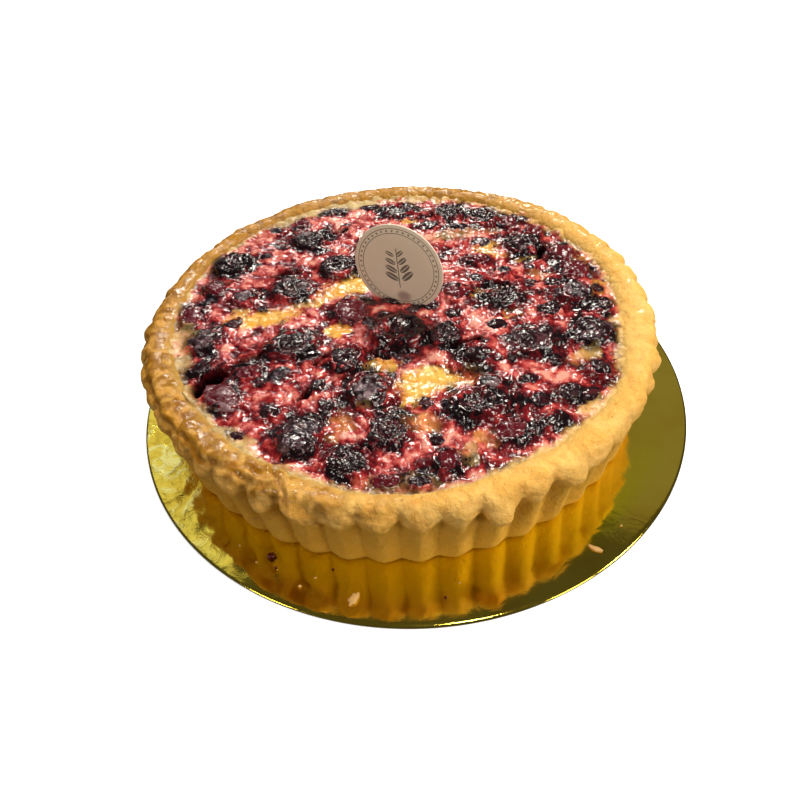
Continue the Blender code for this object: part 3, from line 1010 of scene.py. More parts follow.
def rise_round_berries(x, y, near_x, near_y, ripple, height):
    """The custard's height with a collar round each berry, and how strongly juice stains each point."""
    juice = np.zeros_like(x)
    draw = random.Random(JUICE_SEED)
    for kind, places in BERRIES.items():
        for place in places:
            centre_x, centre_y, length, width, _, rise = place
            radius = (length + width) / 4
            true_out = in_ellipse(x, y, place)
            loose = min(1.0, radius / 6.0)
            ragged_out = in_ellipse(x + (near_x - x) * loose, y + (near_y - y) * loose, place)
            away = (ragged_out - 1.0) * radius
            edge = draw.uniform(0.74, 0.9)
            halo = draw.uniform(2.5, 7.5)
            # The custard hugs the berry, over its skin near the edge and under it further in.
            berry = level_at(centre_x * MM, centre_y * MM)
            stands = (BERRY_SUNK[kind] * rise + 0.5) * MM
            berry = berry + stands * np.clip(1.0 - true_out**2, 0.0, 1.0) ** (BERRY_FLATNESS / 2)
            hug = np.clip((ragged_out - edge) / 0.2, -1.0, 1.0) * 0.9
            hug = hug - 3.4 * smooth_step(edge - 0.18, edge - 0.42, ragged_out)
            collar = draw.uniform(0.5, 1.1) * np.exp(-((np.maximum(away, 0.0) / 1.5) ** 2))
            collar = collar - 2.8 * smooth_step(0.95, 0.6, true_out)
            height = np.maximum(height + collar * MM, np.where(true_out < 1.0, berry + hug * MM, 0.0))
            strength = JUICE_OF[kind] * draw.uniform(0.8, 1.1)
            reach_out = np.exp(-((np.maximum(away + 0.9 * ripple, 0.0) / halo) ** 2))
            juice = np.maximum(juice, strength * reach_out)
    for place in SCRAPS:
        _, _, length, width, _ = place
        away = (in_ellipse(near_x, near_y, place) - 1.0) * (length + width) / 4
        height = height + 0.4 * MM * np.exp(-((away / 1.2) ** 2))
        juice = np.maximum(juice, 0.75 * smooth_step(2.4, -0.5, away))
    return height, juice


def sink_crevices(near_x, near_y, height):
    """The custard's height with its cracks and holes, a low lip round each, and where they lie."""
    pit = np.zeros_like(height)
    for *ellipse, depth in CREVICES:
        inside = in_ellipse(near_x, near_y, ellipse)
        height = height - depth * MM * smooth_step(1.12, 0.72, inside)
        height = height + 0.7 * MM * np.exp(-(((inside - 1.4) / 0.25) ** 2))
        # Where the cracks lie: the custard's finish paints near-black shade there.
        pit = np.maximum(pit, smooth_step(1.18, 0.88, inside))
    return height, pit


def custard_surface(look):
    """The custard's top: its points in the tart's place, and the values its material reads."""
    unit_x, unit_y, quads, rim = disc_grid(look.steps)
    reach = filling_edge(np.arctan2(unit_y, unit_x)) + UNDER_CRUST
    x = unit_x * reach
    y = unit_y * reach
    share = np.hypot(unit_x, unit_y)
    flat = np.stack([x, y, np.zeros_like(x)], axis=1)

    # Patches and berries' edges are drawn out by slow drifts and fine ripples.
    drift_x = noise_at(flat, DRIFT_SIZE, 21.0)
    drift_y = noise_at(flat, DRIFT_SIZE, 37.0)
    ripple = noise_at(flat, RIPPLE_SIZE, 5.0)
    ripple_two = noise_at(flat, RIPPLE_SIZE, 55.0)
    near_x = x + (1.5 * drift_x + 1.3 * ripple) * MM
    near_y = y + (1.5 * drift_y + 1.3 * ripple_two) * MM
    far_x = x + (3.2 * drift_x + 1.6 * ripple) * MM
    far_y = y + (3.2 * drift_y + 1.6 * ripple_two) * MM

    yolk = patch_mask(far_x, far_y, YELLOW_PATCHES)
    orange = patch_mask(far_x, far_y, ORANGE_PATCHES)
    cream = patch_mask(far_x, far_y, CREAM_PATCHES)
    calm = 1.0 - 0.45 * np.maximum(yolk, cream)
    warped = np.stack([near_x, near_y, np.zeros_like(x)], axis=1)
    pillows = folds_at(warped, PILLOW_SIZE, 13.0)
    beads = folds_at(warped, BEAD_SIZE, 17.0)
    foam = (pillows - 0.4) * 1.1 + (beads - 0.4) * 0.4 + 0.3 * ripple + 0.6 * drift_y
    height = custard_level(x, y) + look.foam * calm * foam

    height, juice = rise_round_berries(x, y, near_x, near_y, ripple, height)
    height, pit = sink_crevices(near_x, near_y, height)
    height = height + (1.15 + 0.35 * ripple) * MM * smooth_step(0.94, 1.0, share)
    height = np.maximum(height, LOWEST_CUSTARD)

    brim = 0.95 * smooth_step(0.945, 0.985, share + 0.022 * drift_x + 0.012 * ripple)
    masks = {
        "yolk": yolk * (1 - juice),
        "orange": orange * (1 - juice),
        "cream": np.maximum(cream, brim) * (1 - 0.8 * juice),
        "juice": juice,
        "pit": pit,
        "foam": np.clip(0.5 + 0.55 * foam, 0, 1),
    }
    return np.stack([x, y, height], axis=1), quads, rim, masks


def custard_finish(look):
    """Glossy baked custard: crimson and pink foam, yellow and pale patches, dark juice, and near-black
    painted shade in the cracks.
    """
    custard = Finish(
        "berry_custard",
        specular_ior_level=0.44,
        coat_roughness=0.05,
        subsurface_weight=0.1,
        subsurface_radius=(0.004, 0.0015, 0.001),
        subsurface_scale=0.6,
    )
    foam = custard.mask("foam")
    yolk = custard.mask("yolk")
    juice = custard.mask("juice")
    cream = custard.mask("cream")
    streak = custard.noise(8.0 * MM, warp=0.5)
    fleck = custard.noise(1.4 * MM, detail=1.5, warp=0.8)
    bubble = custard.cells(1.9 * MM)

    # The tone deepens where the foam's relief is low.
    tone = juice * 0.6 + (streak - 0.5) * 2.6 + (fleck - 0.5) * 0.6 + (0.5 - foam) * 0.25 + 0.31
    stops = [
        (0.0, look.foam_pale),
        (0.2, look.foam_pink),
        (0.42, look.foam_red),
        (0.62, look.crimson),
        (0.88, look.juice),
        (1.0, look.pit),
    ]
    yellow = custard.mix(streak.between(0.35, 0.7), look.yolk, paint(242, 194, 96))
    right = custard.split()[0].between(-10 * MM, 60 * MM)
    pale = custard.mix(streak.between(0.4, 0.65), look.cream, paint(176, 146, 84))
    pale = custard.mix(right * 0.85, pale, paint(232, 186, 100))
    layers = [
        (custard.mask("orange") * streak.between(0.3, 0.55), look.orange),
        ((yolk * 1.3 - fleck.between(0.5, 0.7) * 0.45).clamped(), yellow),
        ((cream * 1.15 - fleck.between(0.55, 0.75) * 0.35).clamped(), pale),
        # Darker, with the juice colour, where the foam's relief is lowest.
        (foam.between(0.35, 0.05) * 0.5 * (1 - yolk * 0.7), look.juice),
        # Painted shade: the cracks are painted near black.
        (custard.mask("pit"), look.pit),
    ]
    custard.drive("Base Color", custard.layered(custard.ramp(tone.clamped(), stops), layers))

    custard.drive("Roughness", 0.08 + fleck * 0.08 + cream * 0.4)
    custard.drive("Coat Weight", 0.12 - cream * 0.12)
    relief = (1.0 - bubble * bubble) * 0.35 + fleck * 1.1
    custard.drive("Normal", custard.bump(relief, 0.2 * MM, 0.9))
    return custard


class CLAFOUTIS_OT_add_custard(bpy.types.Operator):
    """Add the baked custard with its foam, cracks and the pockets under the berries"""

    bl_idname = "clafoutis.add_custard"
    bl_label = "Add custard"
    bl_options = {"REGISTER", "UNDO"}

    def execute(self, context):
        look = context.scene.clafoutis_custard
        top, quads, rim, masks = custard_surface(look)
        bottom = top[rim] * BOTTOM_SHARE
        bottom[:, 2] = FLOOR_THICKNESS + GAP
        centre = [[0.0, 0.0, FLOOR_THICKNESS + GAP]]
        points = np.concatenate([top, bottom, centre]) + np.array(TART)
        low = np.arange(len(rim)) + len(top)
        sides = np.stack([rim, np.roll(rim, -1), np.roll(low, -1), low], axis=1)
        faces = quads.tolist() + sides.tolist() + fan_faces(len(top) + len(low), low).tolist()
        values = {name: np.append(mask, np.zeros(len(low) + 1)) for name, mask in masks.items()}
        custard = new_piece("berry_custard", points, faces, custard_finish(look), values)
        settle(custard, "baked_custard", "custard")
        return {"FINISHED"}


def drupelet_places(spacing, draw):
    """Unit directions of drupelets, in rings round the berry's long axis."""
    places = []
    rings = max(3, round(math.pi / spacing))
    for ring in range(rings + 1):
        slope = math.pi * ring / rings
        count = max(1, round(math.tau * math.sin(slope) / spacing))
        for number in range(count):
            turn = math.tau * (number + 0.5 * (ring % 2)) / count + draw.uniform(-0.12, 0.12)
            tilt = slope + draw.uniform(-0.1, 0.1) * spacing
            across = math.sin(tilt)
            places.append((math.cos(tilt), across * math.cos(turn), across * math.sin(turn)))
    return np.array(places)


def berry_sphere(rows, columns):
    """Unit sphere about the X axis without its two end points, most of its columns on the upper side."""
    slope = math.pi * (np.arange(rows) + 0.5) / rows
    upper = columns * 3 // 4
    turn = np.concatenate(
        [
            np.radians(np.linspace(-25, 205, upper, endpoint=False)),
            np.radians(np.linspace(205, 335, columns - upper, endpoint=False)),
        ]
    )
    x = np.cos(slope)[:, None] * np.ones_like(turn)[None, :]
    y = np.sin(slope)[:, None] * np.cos(turn)[None, :]
    z = np.sin(slope)[:, None] * np.sin(turn)[None, :]
    return np.stack([x, y, z], axis=2)


def drupelet_berry(sphere, length, seed):
    """How far each point of a berry of drupelets stands out, and how near a drupelet's top it is."""
    draw = random.Random(seed)
    spacing = min(0.62, 3.5 * MM / (length / 2))
    centres = drupelet_places(spacing, draw)
    away = np.min(np.linalg.norm(sphere[:, :, None, :] - centres[None, None, :, :], axis=3), axis=2)
    bump = np.sqrt(np.clip(1.0 - (away / (0.66 * spacing)) ** 2, 0.0, 1.0))
    crumple = noise_at(sphere, 0.75, seed * 1.7)
    return 1.0 - (0.05 + 0.14 * spacing) * (1.0 - bump) + 0.24 * crumple, bump


def skin_berry(sphere, seed, depth, ringed, torn):
    """How far each point of a wrinkled skin stands out, and how near a wrinkle's top it is."""
    draw = random.Random(seed)
    dent = Vector((draw.uniform(-0.5, 0.5), draw.uniform(-0.6, 0.2), 0.8)).normalized()
    near = np.clip(sphere @ np.array(dent), 0.0, 1.0) ** 7
    swirl = noise_at(sphere, 0.55, seed * 2.3)
    twisted = sphere + np.stack([np.zeros_like(swirl), swirl, -swirl], axis=2) * 0.35
    worm = np.abs(noise_at(twisted, 0.34, seed + 0.5))
    thin = np.abs(noise_at(twisted, 0.17, seed + 9.5))
    groove = np.clip(1.0 - worm * 4.0, 0.0, 1.0) * 0.7 + np.clip(1.0 - thin * 4.0, 0.0, 1.0) * 0.15
    broad = noise_at(sphere, 0.95, seed * 3.7)
    out = 1.0 + 0.13 * swirl + 0.12 * broad - depth * groove - 0.18 * near
    if ringed:
        from_top = np.hypot(sphere[:, :, 0], sphere[:, :, 1])
        ring = np.exp(-(((from_top - 0.66 - 0.05 * swirl) / 0.07) ** 2))
        out = out - 0.16 * ring * (sphere[:, :, 2] > 0)
        groove = np.maximum(groove, ring)
    if torn:
        # The top has caved in behind a ragged lip, and the outline has corners.
        turn = np.arctan2(sphere[:, :, 1], sphere[:, :, 0])
        out = out * (0.93 + 0.09 * np.cos(3.0 * turn + seed))
        up = sphere[:, :, 2] + 0.22 * swirl + 0.12 * broad
        out = out * (1.0 - 0.34 * smooth_step(0.62, 0.8, up))
        groove = np.maximum(groove, np.exp(-(((up - 0.64) / 0.05) ** 2)))
    return out, 1.0 - np.clip(groove, 0.0, 1.0)


RINGED_CHERRIES = (3, 4, 10)
TORN_CHERRIES = (1, 9, 12)
# Berries with a pale film of foam, and how strong it is.
FILMED = {
    ("bramble", 8): 0.95,
    ("bramble", 10): 0.5,
    ("bramble", 2): 0.4,
    ("bramble", 9): 0.35,
    ("bramble", 1): 0.3,
    ("raspberry", 10): 0.6,
    ("blueberry", 1): 0.5,
    ("blueberry", 6): 0.5,
    ("blueberry", 7): 0.6,
    ("cherry", 8): 0.4,
}


def berry_piece(kind, number, place, rows, columns):
    """One berry, sunk to its widest section in the custard."""
    x, y, length, width, turn, rise = place
    length, width, rise = length * MM, width * MM, rise * MM
    seed = SEEDS[kind] + number
    sphere = berry_sphere(rows, columns)
    if kind in WRINKLES:
        ringed = kind == "cherry" and number in RINGED_CHERRIES
        torn = kind == "cherry" and number in TORN_CHERRIES
        out, crown = skin_berry(sphere, seed, WRINKLES[kind], ringed, torn)
    else:
        out, crown = drupelet_berry(sphere, length, seed)
    depth = BERRY_HEIGHTS[kind] * width - rise
    shaped = sphere * out[:, :, None] * np.array([length / 2, width / 2, depth])
    top = (BERRY_SUNK[kind] * rise + 0.5 * MM) * np.abs(sphere[:, :, 2]) ** BERRY_FLATNESS * out**2
    shaped[:, :, 2] = np.where(sphere[:, :, 2] > 0, top, shaped[:, :, 2])
    spot = Matrix.Translation(TART + Vector((x * MM, y * MM, level_at(x * MM, y * MM))))
    spot = spot @ Matrix.Rotation(math.radians(turn), 4, "Z")
    placed = shaped @ np.array(spot.to_3x3()).T + np.array(spot.translation)
    points, faces = closed_ring_solid(placed)
    filmed = FILMED.get((kind, number), random.Random(seed).uniform(0.0, 0.3) ** 2 * 2)
    values = {"crown": np.append(crown.ravel(), [1.0, 1.0]), "film": np.full(len(points), filmed)}
    return points, faces, values


def berry_finish(name, color, look, roughness=SKIN_ROUGHNESS):
    """Glazed berry skin: dark tops, redder creases, a thin pale film in places and fine wrinkles."""
    skin = Finish(name, specular_ior_level=0.44, coat_roughness=0.04)
    crown = skin.mask("crown")
    filmed = skin.mask("film")
    cloud = skin.noise(4 * MM, detail=4.0, warp=0.8)
    grain = skin.noise(0.7 * MM, roughness=0.6)
    wrinkle = skin.noise(2.4 * MM, detail=1.5, warp=1.6)
    layers = [
        (cloud.between(0.5, 0.75) * 0.5, look.flesh),
        (crown.between(0.4, 0.0) * 0.35, look.flesh),
        (cloud.between(0.42, 0.68) * crown.between(0.1, 0.7) * filmed, look.film),
    ]
    skin.drive("Base Color", skin.layered(color, layers))
    skin.drive("Roughness", roughness + grain * 0.06 + filmed * 0.15)
    skin.drive("Coat Weight", 0.08 - filmed * 0.08)
    skin.drive("Normal", skin.bump(wrinkle, 0.34 * MM, 0.8))
    return skin


class AddBerries:
    """What the four berry operators share."""

    bl_options = {"REGISTER", "UNDO"}
    kind = ""
    rows = 54
    columns = 64
    roughness = SKIN_ROUGHNESS

    def execute(self, context):
        look = context.scene.clafoutis_berries
        finish = berry_finish(self.kind + "_skin", getattr(look, self.kind), look, self.roughness)
        for number, place in enumerate(BERRIES[self.kind], 1):
            points, faces, values = berry_piece(self.kind, number, place, self.rows, self.columns)
            berry = new_piece(f"baked_{self.kind}_{number:02d}", points, faces, finish, values)
            settle(berry, self.kind + "_skin", f"{self.kind}_{number:02d}")
        return {"FINISHED"}


class CLAFOUTIS_OT_add_cherries(AddBerries, bpy.types.Operator):
    """Add the wrinkled dark cherries"""

    bl_idname = "clafoutis.add_cherries"
    bl_label = "Add cherries"
    kind = "cherry"
    rows = 60
    columns = 72


class CLAFOUTIS_OT_add_brambles(AddBerries, bpy.types.Operator):
    """Add the near-black berries of drupelets"""

    bl_idname = "clafoutis.add_brambles"
    bl_label = "Add brambles"
    kind = "bramble"


class CLAFOUTIS_OT_add_raspberries(AddBerries, bpy.types.Operator):
    """Add the dark red berries of drupelets"""

    bl_idname = "clafoutis.add_raspberries"
    bl_label = "Add raspberries"
    kind = "raspberry"


class CLAFOUTIS_OT_add_blueberries(AddBerries, bpy.types.Operator):
    """Add the small round berries"""

    bl_idname = "clafoutis.add_blueberries"
    bl_label = "Add blueberries"
    kind = "blueberry"
    rows = 30
    columns = 36
    roughness = 0.14


class CLAFOUTIS_OT_add_scraps(bpy.types.Operator):
    """Add the small scraps of berry between the large ones"""

    bl_idname = "clafoutis.add_scraps"
    bl_label = "Add berry scraps"
    bl_options = {"REGISTER", "UNDO"}
    rise = 1.2
    rows = 22
    columns = 26

    def execute(self, context):
        look = context.scene.clafoutis_berries
        finish = berry_finish("scrap_skin", look.bramble, look)
        parts = [
            berry_piece("scrap", number, (*place, self.rise), self.rows, self.columns)
            for number, place in enumerate(SCRAPS, 1)
        ]
        settle(joined_piece("berry_scraps", parts, finish), "bramble_skin")
        return {"FINISHED"}


def turned_grid(profile, sides):
    """Closed rows of points, turned from rows of radius and height."""
    angle = np.arange(sides) / sides * math.tau
    ring = np.stack([np.cos(angle), np.sin(angle), np.ones(sides)], axis=1)
    return np.array([ring * (radius, radius, height) for radius, height in profile])


def ring_line(radius, middle):
    """A printed ring: 1 on the line and 0 beside it."""
    return (radius - middle).absolute().between(RING_HALF_WIDTH, RING_HALF_WIDTH * 0.6)


def leaf_print(x, y, centre, length, width, turn):
    """A printed leaf: an ellipse with a pale midrib."""
    cos, sin = math.cos(turn), math.sin(turn)
    along = (x - centre[0]) * cos + (y - centre[1]) * sin
    across = (y - centre[1]) * cos - (x - centre[0]) * sin
    size = (along * (2 / length)) ** 2 + (across * (2 / width)) ** 2
    return size.between(1.0, 0.85) * across.absolute().between(0.12 * MM, 0.2 * MM)


def tag_ink(radius, x, y):
    """Where the tag is printed: its rings, its dots and its sprig."""
    ink = ring_line(radius, PRINT_RINGS[0]).or_more(ring_line(radius, PRINT_RINGS[1]))
    turn = y.math("ARCTAN2", y, x) * (DOTS / math.tau)
    bead = turn.math("FRACT", turn) - 0.5
    dot = ((bead * 2.3 * MM) ** 2 + (radius - DOT_RING) ** 2) ** 0.5
    ink = ink.or_more(dot.between(0.5 * MM, 0.35 * MM) * 0.85)
    stem = (x - 0.12 * y).absolute().between(0.24 * MM, 0.14 * MM)
    sprig = stem * y.absolute().between(9.0 * MM, 8.7 * MM)
    for number in range(LEAF_PAIRS):
        height = (-5.5 + 3.6 * number) * MM
        size = (6.6 - 0.8 * number) * MM
        for side, tilt in ((-1, math.pi - LEAF_TILT), (1, LEAF_TILT)):
            centre = (side * size * 0.52, height + 0.3 * size)
            sprig = sprig.or_more(leaf_print(x, y, centre, size, 0.42 * size, tilt))
    return ink.or_more(sprig * 0.9)


def tag_finish(look):
    """Matt beige card with a printed double ring, a row of dots, a small sprig and a juice stain."""
    tag = Finish("tag_card", roughness=0.55, specular_ior_level=0.35)
    x, y, z = tag.split()
    radius = (x * x + y * y) ** 0.5
    cos, sin = math.cos(TAG_PRINT_TURN), math.sin(TAG_PRINT_TURN)
    ink = tag_ink(radius, x * cos + y * sin, y * cos - x * sin)
    front = z.between(0.1 * MM, 0.2 * MM)
    fibre = tag.noise(0.5 * MM, roughness=0.7)
    edge = radius.between(18.2 * MM, 18.7 * MM)
    stain = ((x - 2.5 * MM) ** 2 + ((y + 12.5 * MM) * 1.3) ** 2) ** 0.5 + (fibre - 0.5) * 2.5 * MM
    # Darker and browner towards the bottom edge, on both faces.
    darker_bottom = y.between(-13.0 * MM, -18.0 * MM)
    layers = [
        (fibre.between(0.3, 0.7), paint(252, 232, 206)),
        (edge * 0.7, paint(250, 236, 218)),
        (ink * front * (0.8 + 0.2 * fibre), look.ink),
        (stain.between(4.2 * MM, 1.5 * MM) * front * 0.6, paint(120, 84, 92)),
        (darker_bottom * 0.55, paint(150, 92, 64)),
    ]
    tag.drive("Base Color", tag.layered(look.tag, layers))
    tag.drive("Normal", tag.bump(fibre - ink * front * 0.3, 0.15 * MM, 0.5))
    return tag


class CLAFOUTIS_OT_add_tag(bpy.types.Operator):
    """Add the round printed card tag that stands in the custard"""

    bl_idname = "clafoutis.add_tag"
    bl_label = "Add tag"
    bl_options = {"REGISTER", "UNDO"}

    def execute(self, context):
        half = TAG_THICKNESS / 2
        front = [
            (0.5 * MM, half),
            (TAG_RADIUS * 0.5, half),
            (TAG_RADIUS - 2 * TAG_ROUNDING, half),
            (TAG_RADIUS - TAG_ROUNDING * 0.4, half - TAG_ROUNDING * 0.5),
            (TAG_RADIUS, half - TAG_ROUNDING * 1.2),
        ]
        back = [(radius, -height) for radius, height in reversed(front)]
        points, faces = closed_ring_solid(turned_grid(front + back, TAG_SIDES))
        tag = new_piece("printed_tag", points, faces, tag_finish(context.scene.clafoutis_trim))
        tag.data.set_sharp_from_angle(angle=math.radians(40))
        place = Matrix.Translation(TART + Vector(TAG_PLACE))
        place = place @ Matrix.Rotation(TAG_TURN, 4, "Z") @ Matrix.Rotation(math.pi / 2 - TAG_LEAN, 4, "X")
        tag.matrix_world = place
        settle(tag, "tag_card", "round_tag")
        return {"FINISHED"}


def card_finish(look):
    """Mirror-bright gold foil, crinkled in places, over a grey-brown board that shows at the edge, with a
    yellower painted reflection tint in front of the crust and painted highlights and shade on the left's
    crinkles.
    """
    foil = Finish("gold_foil", specular_ior_level=0.5)
    x, y, height = foil.split()
    left = x.between(-66 * MM, -96 * MM)
    # In front of the crust the foil mirrors it, and is painted yellower there: a painted reflection tint.
    mirrors = (x * x + y * y).between(MIRROR_END**2, MIRROR_FULL**2)
    front = y.between(-20 * MM, -84 * MM) * mirrors
    board = height.between(0.62 * MM, 0.5 * MM)
    crinkle = foil.noise(7 * MM, detail=5.0, roughness=0.6, warp=1.2)
    cloud = foil.noise(22 * MM)
    layers = [
        (cloud.between(0.35, 0.7) * 0.5, paint(228, 184, 50)),
        (front * (1 - left) * 0.9, paint(242, 228, 38)),
        # Painted highlights and shade: lighter and darker foil on the crinkles at the left.
        (crinkle.between(0.5, 0.6) * left * 0.7, paint(255, 244, 150)),
        (crinkle.between(0.46, 0.36) * left * 0.6, paint(196, 164, 50)),
        (board, look.board),
    ]
    foil.drive("Base Color", foil.layered(look.foil, layers))
    foil.drive("Metallic", 1.0 - board)
    foil.drive("Roughness", 0.05 + crinkle * 0.07 + left * 0.08 + board * 0.5)
    foil.drive("Normal", foil.bump(crinkle * (0.15 + left * 0.85), 0.8 * MM, 0.4))
    return foil


def card_surface():
    """Grid of the card's points: a lightly crinkled top, a rounded edge and a flat underside."""
    # The top's rows run from near the middle, where a fan closes it, to the rounded edge.
    top = [(radius, CARD_THICKNESS) for radius in np.linspace(2.0, 113.4, CARD_ROWS) * MM]
    edge = [
        (CARD_RADIUS - 0.45 * MM, CARD_THICKNESS - 0.05 * MM),
        (CARD_RADIUS - 0.12 * MM, CARD_THICKNESS - 0.28 * MM),
        (CARD_RADIUS, 0.6 * MM),
        (CARD_RADIUS, 0.45 * MM),
        (CARD_RADIUS - 0.12 * MM, 0.2 * MM),
        (CARD_RADIUS - 0.5 * MM, 0.0),
        (2.0 * MM, 0.0),
    ]
    grid = turned_grid(top + edge, CARD_SIDES)
    foil = grid[:CARD_ROWS]
    crinkle = -np.abs(noise_at(foil, 9.0 * MM, 2.0)) - 0.5 * np.abs(noise_at(foil, 4.0 * MM, 6.0))
    wide = noise_at(foil, 40.0 * MM, 1.0)
    left = smooth_step(20 * MM, -90 * MM, foil[:, :, 0])
    dip = (0.6 * crinkle * (0.05 + 0.95 * left) + 0.10 * wide * (0.3 + 0.7 * left)) * MM
    fade = smooth_step(113.0 * MM, 108.0 * MM, np.hypot(foil[:, :, 0], foil[:, :, 1]))
    grid[:CARD_ROWS, :, 2] += dip * (0.25 + 0.75 * fade)
    return grid


class CLAFOUTIS_OT_add_card(bpy.types.Operator):
    """Add the round cake card with its gold foil"""

    bl_idname = "clafoutis.add_card"
    bl_label = "Add cake card"
    bl_options = {"REGISTER", "UNDO"}

    def execute(self, context):
        points, faces = closed_ring_solid(card_surface())
        card = new_piece("gold_cake_card", points, faces, card_finish(context.scene.clafoutis_trim))
        settle(card, "gold_foil", "cake_card")
        return {"FINISHED"}


# Crumbs on the card: place from the card's centre, length, width and height in millimetres, and turn.
CRUST_CRUMBS = [
    (-22.5, -103.5, 5.0, 3.0, 1.2, 60),
    (61.0, -88.0, 4.5, 2.0, 0.8, -30),
    (-41.0, -98.0, 1.2, 1.0, 0.8, 0),
    (-36.0, -95.0, 0.9, 0.7, 0.6, 30),
    (-57.0, -88.0, 1.0, 0.8, 0.7, 0),
    (-64.0, -81.0, 0.8, 0.7, 0.6, 60),
    (72.0, -79.0, 0.9, 0.6, 0.5, 0),
    (13.0, -99.0, 0.8, 0.6, 0.5, 0),
]
BERRY_CRUMBS = [
    (-52.0, -86.0, 3.0, 2.4, 1.8, 20),
    (-50.0, -90.5, 0.9, 0.8, 0.7, 0),
    (-30.0, -92.0, 1.0, 0.8, 0.6, 0),
    (8.0, -104.0, 0.9, 0.8, 0.6, 0),
]


class CLAFOUTIS_OT_add_crumbs(bpy.types.Operator):
    """Add the crumbs that lie on the card"""

    bl_idname = "clafoutis.add_crumbs"
    bl_label = "Add crumbs"
    bl_options = {"REGISTER", "UNDO"}
    rows = 10
    columns = 14

    def crumbs(self, name, places, finish, slot):
        parts = []
        for seed, (x, y, length, width, height, turn) in enumerate(places, CRUMB_SEED):
            sphere = berry_sphere(self.rows, self.columns)
            rough = noise_at(sphere, 0.7, seed * 3.1)
            shaped = sphere * (1.0 + 0.45 * rough)[:, :, None] * np.array([length, width, height]) * MM / 2
            spot = Matrix.Rotation(math.radians(turn), 3, "Z")
            middle = np.array([x * MM, y * MM, CARD_THICKNESS + height * 0.4 * MM])
            points, faces = closed_ring_solid(shaped @ np.array(spot).T + middle)
            values = {"crown": np.full(len(points), 0.8), "film": np.zeros(len(points))}
            parts.append((points, faces, values))
        settle(joined_piece(name, parts, finish), slot)

    def execute(self, context):
        crumb = Finish("crumb_dough", roughness=0.6)
        grain = crumb.noise(0.6 * MM)
        crumb.drive("Base Color", crumb.mix(grain, paint(232, 190, 122), paint(200, 146, 72)))
        crumb.drive("Normal", crumb.bump(grain, 0.3 * MM, 0.6))
        self.crumbs("crust_crumbs", CRUST_CRUMBS, crumb, "baked_shortcrust")
        look = context.scene.clafoutis_berries
        bit = berry_finish("berry_bit", look.raspberry, look, 0.25)
        self.crumbs("berry_crumbs", BERRY_CRUMBS, bit, "bramble_skin")
        return {"FINISHED"}


# The camera, fitted to the photo's ellipses: angles in radians, its lens and sensor in millimetres.
CAMERA_DISTANCE = 298.3 * MM
CAMERA_ABOVE = 0.7704
CAMERA_ROLL = -0.0439
CAMERA_YAW = -0.0189
CAMERA_PITCH = -0.0285
CAMERA_LENS = 30.6
CAMERA_SENSOR = 36.0
LAMP_AIM = Vector((0.0, 0.0, 0.02))
WARM = (1.0, 0.94, 0.84)
# The floor reaches this far each way, a hair under the card.
FLOOR_REACH = 4.0
FLOOR_LEVEL = -0.05 * MM


def camera_matrix():
    eye = Vector((0.0, -math.cos(CAMERA_ABOVE), math.sin(CAMERA_ABOVE))) * CAMERA_DISTANCE
    ahead = -eye.normalized()
    right = Vector((1.0, 0.0, 0.0))
    up = right.cross(ahead)
    ahead = (ahead + math.tan(CAMERA_YAW) * right + math.tan(CAMERA_PITCH) * up).normalized()
    level = ahead.cross(up).normalized()
    upright = level.cross(ahead)
    right = math.cos(CAMERA_ROLL) * level + math.sin(CAMERA_ROLL) * upright
    up = math.cos(CAMERA_ROLL) * upright - math.sin(CAMERA_ROLL) * level
    turned = Matrix((right, up, -ahead)).transposed().to_4x4()
    return Matrix.Translation(eye + Vector((0.0, 0.0, CARD_THICKNESS))) @ turned


def area_light(name, place, size, power, color):
    lamp = bpy.data.lights.new(name, "AREA")
    lamp.shape = "DISK"
    lamp.size = size
    lamp.energy = power
    lamp.color = color
    light = bpy.data.objects.new(name, lamp)
    light.location = place
    light.rotation_euler = (LAMP_AIM - Vector(place)).to_track_quat("-Z", "Y").to_euler()
    bpy.context.scene.collection.objects.link(light)


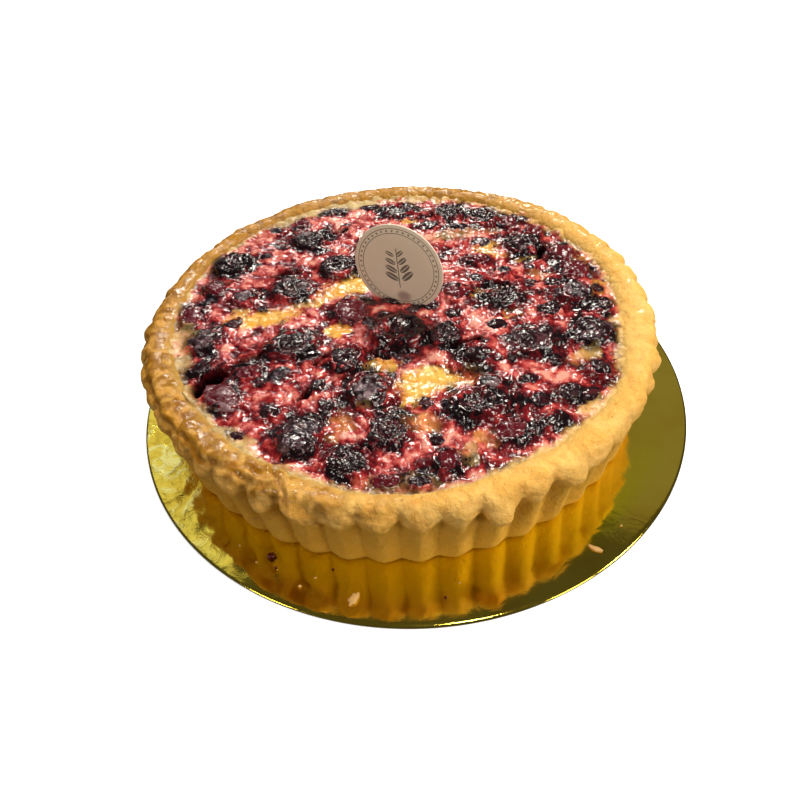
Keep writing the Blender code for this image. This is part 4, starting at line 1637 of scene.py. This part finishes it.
class CLAFOUTIS_OT_set_stage(bpy.types.Operator):
    """Set the pale floor, the soft lights and the camera"""

    bl_idname = "clafoutis.set_stage"
    bl_label = "Set stage"
    bl_options = {"REGISTER", "UNDO"}

    def execute(self, context):
        look = context.scene.clafoutis_stage
        sides = [(-1, -1), (1, -1), (1, 1), (-1, 1)]
        corners = [(x * FLOOR_REACH, y * FLOOR_REACH, FLOOR_LEVEL) for x, y in sides]
        mesh = bpy.data.meshes.new("pale_floor")
        mesh.from_pydata(corners, [], [(0, 1, 2, 3)])
        finish = Finish("pale_floor", roughness=0.7, emission_strength=0.55)
        finish.drive("Base Color", look.floor)
        finish.drive("Emission Color", (1.0, 1.0, 1.0))
        mesh.materials.append(finish.material)
        floor = bpy.data.objects.new("pale_floor", mesh)
        context.scene.collection.objects.link(floor)
        floor.visible_diffuse = False
        floor.visible_glossy = False

        world = bpy.data.worlds.new("studio")
        world.use_nodes = True
        background = world.node_tree.nodes["Background"]
        background.inputs["Color"].default_value = (1.0, 0.97, 0.93, 1.0)
        background.inputs["Strength"].default_value = look.sky
        context.scene.world = world
        area_light("key", (0.10, 0.95, 0.85), 0.25, look.key_power, WARM)
        area_light("back_lamp", (-0.28, 1.00, 0.80), 0.10, look.key_power * 0.2, WARM)
        area_light("overhead", (0.15, 0.05, 1.20), 0.14, look.key_power * 0.48, WARM)
        area_light("left_window", (-0.40, 0.60, 0.68), 0.50, look.key_power * 0.054, (0.98, 1.0, 1.1))
        area_light("right_window", (0.75, -0.20, 0.60), 0.22, look.fill_power, WARM)
        area_light("back_window", (0.55, 0.85, 0.92), 0.60, look.key_power * 0.016, WARM)
        area_light("right_front_fill", (0.62, -0.55, 0.35), 0.24, look.fill_power * 0.40, WARM)
        area_light("left_front_fill", (-0.60, -0.50, 0.45), 0.24, look.fill_power * 0.36, WARM)

        lens = bpy.data.cameras.new("camera")
        lens.lens = CAMERA_LENS
        lens.sensor_width = CAMERA_SENSOR
        lens.clip_start = 0.01
        camera = bpy.data.objects.new("camera", lens)
        camera.matrix_world = camera_matrix()
        context.scene.collection.objects.link(camera)
        context.scene.camera = camera
        context.scene.view_settings.view_transform = "Standard"
        return {"FINISHED"}


class CLAFOUTIS_PT_panel(bpy.types.Panel):
    """Lists the steps that build the clafoutis"""

    bl_idname = "CLAFOUTIS_PT_panel"
    bl_label = "Berry Clafoutis"
    bl_space_type = "VIEW_3D"
    bl_region_type = "UI"
    bl_category = "Clafoutis"

    def draw(self, context):
        for step in STEPS:
            self.layout.operator(step.bl_idname)
        for name, group in LOOKS.items():
            box = self.layout.box()
            for key in group.__annotations__:
                box.prop(getattr(context.scene, name), key)


STEPS = (
    CLAFOUTIS_OT_add_card,
    CLAFOUTIS_OT_add_crust,
    CLAFOUTIS_OT_add_custard,
    CLAFOUTIS_OT_add_cherries,
    CLAFOUTIS_OT_add_brambles,
    CLAFOUTIS_OT_add_raspberries,
    CLAFOUTIS_OT_add_blueberries,
    CLAFOUTIS_OT_add_scraps,
    CLAFOUTIS_OT_add_tag,
    CLAFOUTIS_OT_add_crumbs,
    CLAFOUTIS_OT_set_stage,
)
LOOKS = {
    "clafoutis_crust": CrustLook,
    "clafoutis_custard": CustardLook,
    "clafoutis_berries": BerryLook,
    "clafoutis_trim": TrimLook,
    "clafoutis_stage": StageLook,
}


def register():
    for name, group in LOOKS.items():
        bpy.utils.register_class(group)
        setattr(bpy.types.Scene, name, PointerProperty(type=group))
    for step in STEPS:
        bpy.utils.register_class(step)
    bpy.utils.register_class(CLAFOUTIS_PT_panel)


def unregister():
    bpy.utils.unregister_class(CLAFOUTIS_PT_panel)
    for step in reversed(STEPS):
        bpy.utils.unregister_class(step)
    for name, group in LOOKS.items():
        delattr(bpy.types.Scene, name)
        bpy.utils.unregister_class(group)


def main():
    register()
    bpy.ops.clafoutis.add_card()
    bpy.ops.clafoutis.add_crust()
    bpy.ops.clafoutis.add_custard()
    bpy.ops.clafoutis.add_cherries()
    bpy.ops.clafoutis.add_brambles()
    bpy.ops.clafoutis.add_raspberries()
    bpy.ops.clafoutis.add_blueberries()
    bpy.ops.clafoutis.add_scraps()
    bpy.ops.clafoutis.add_tag()
    bpy.ops.clafoutis.add_crumbs()
    bpy.ops.clafoutis.set_stage()


if __name__ == "__main__":
    main()
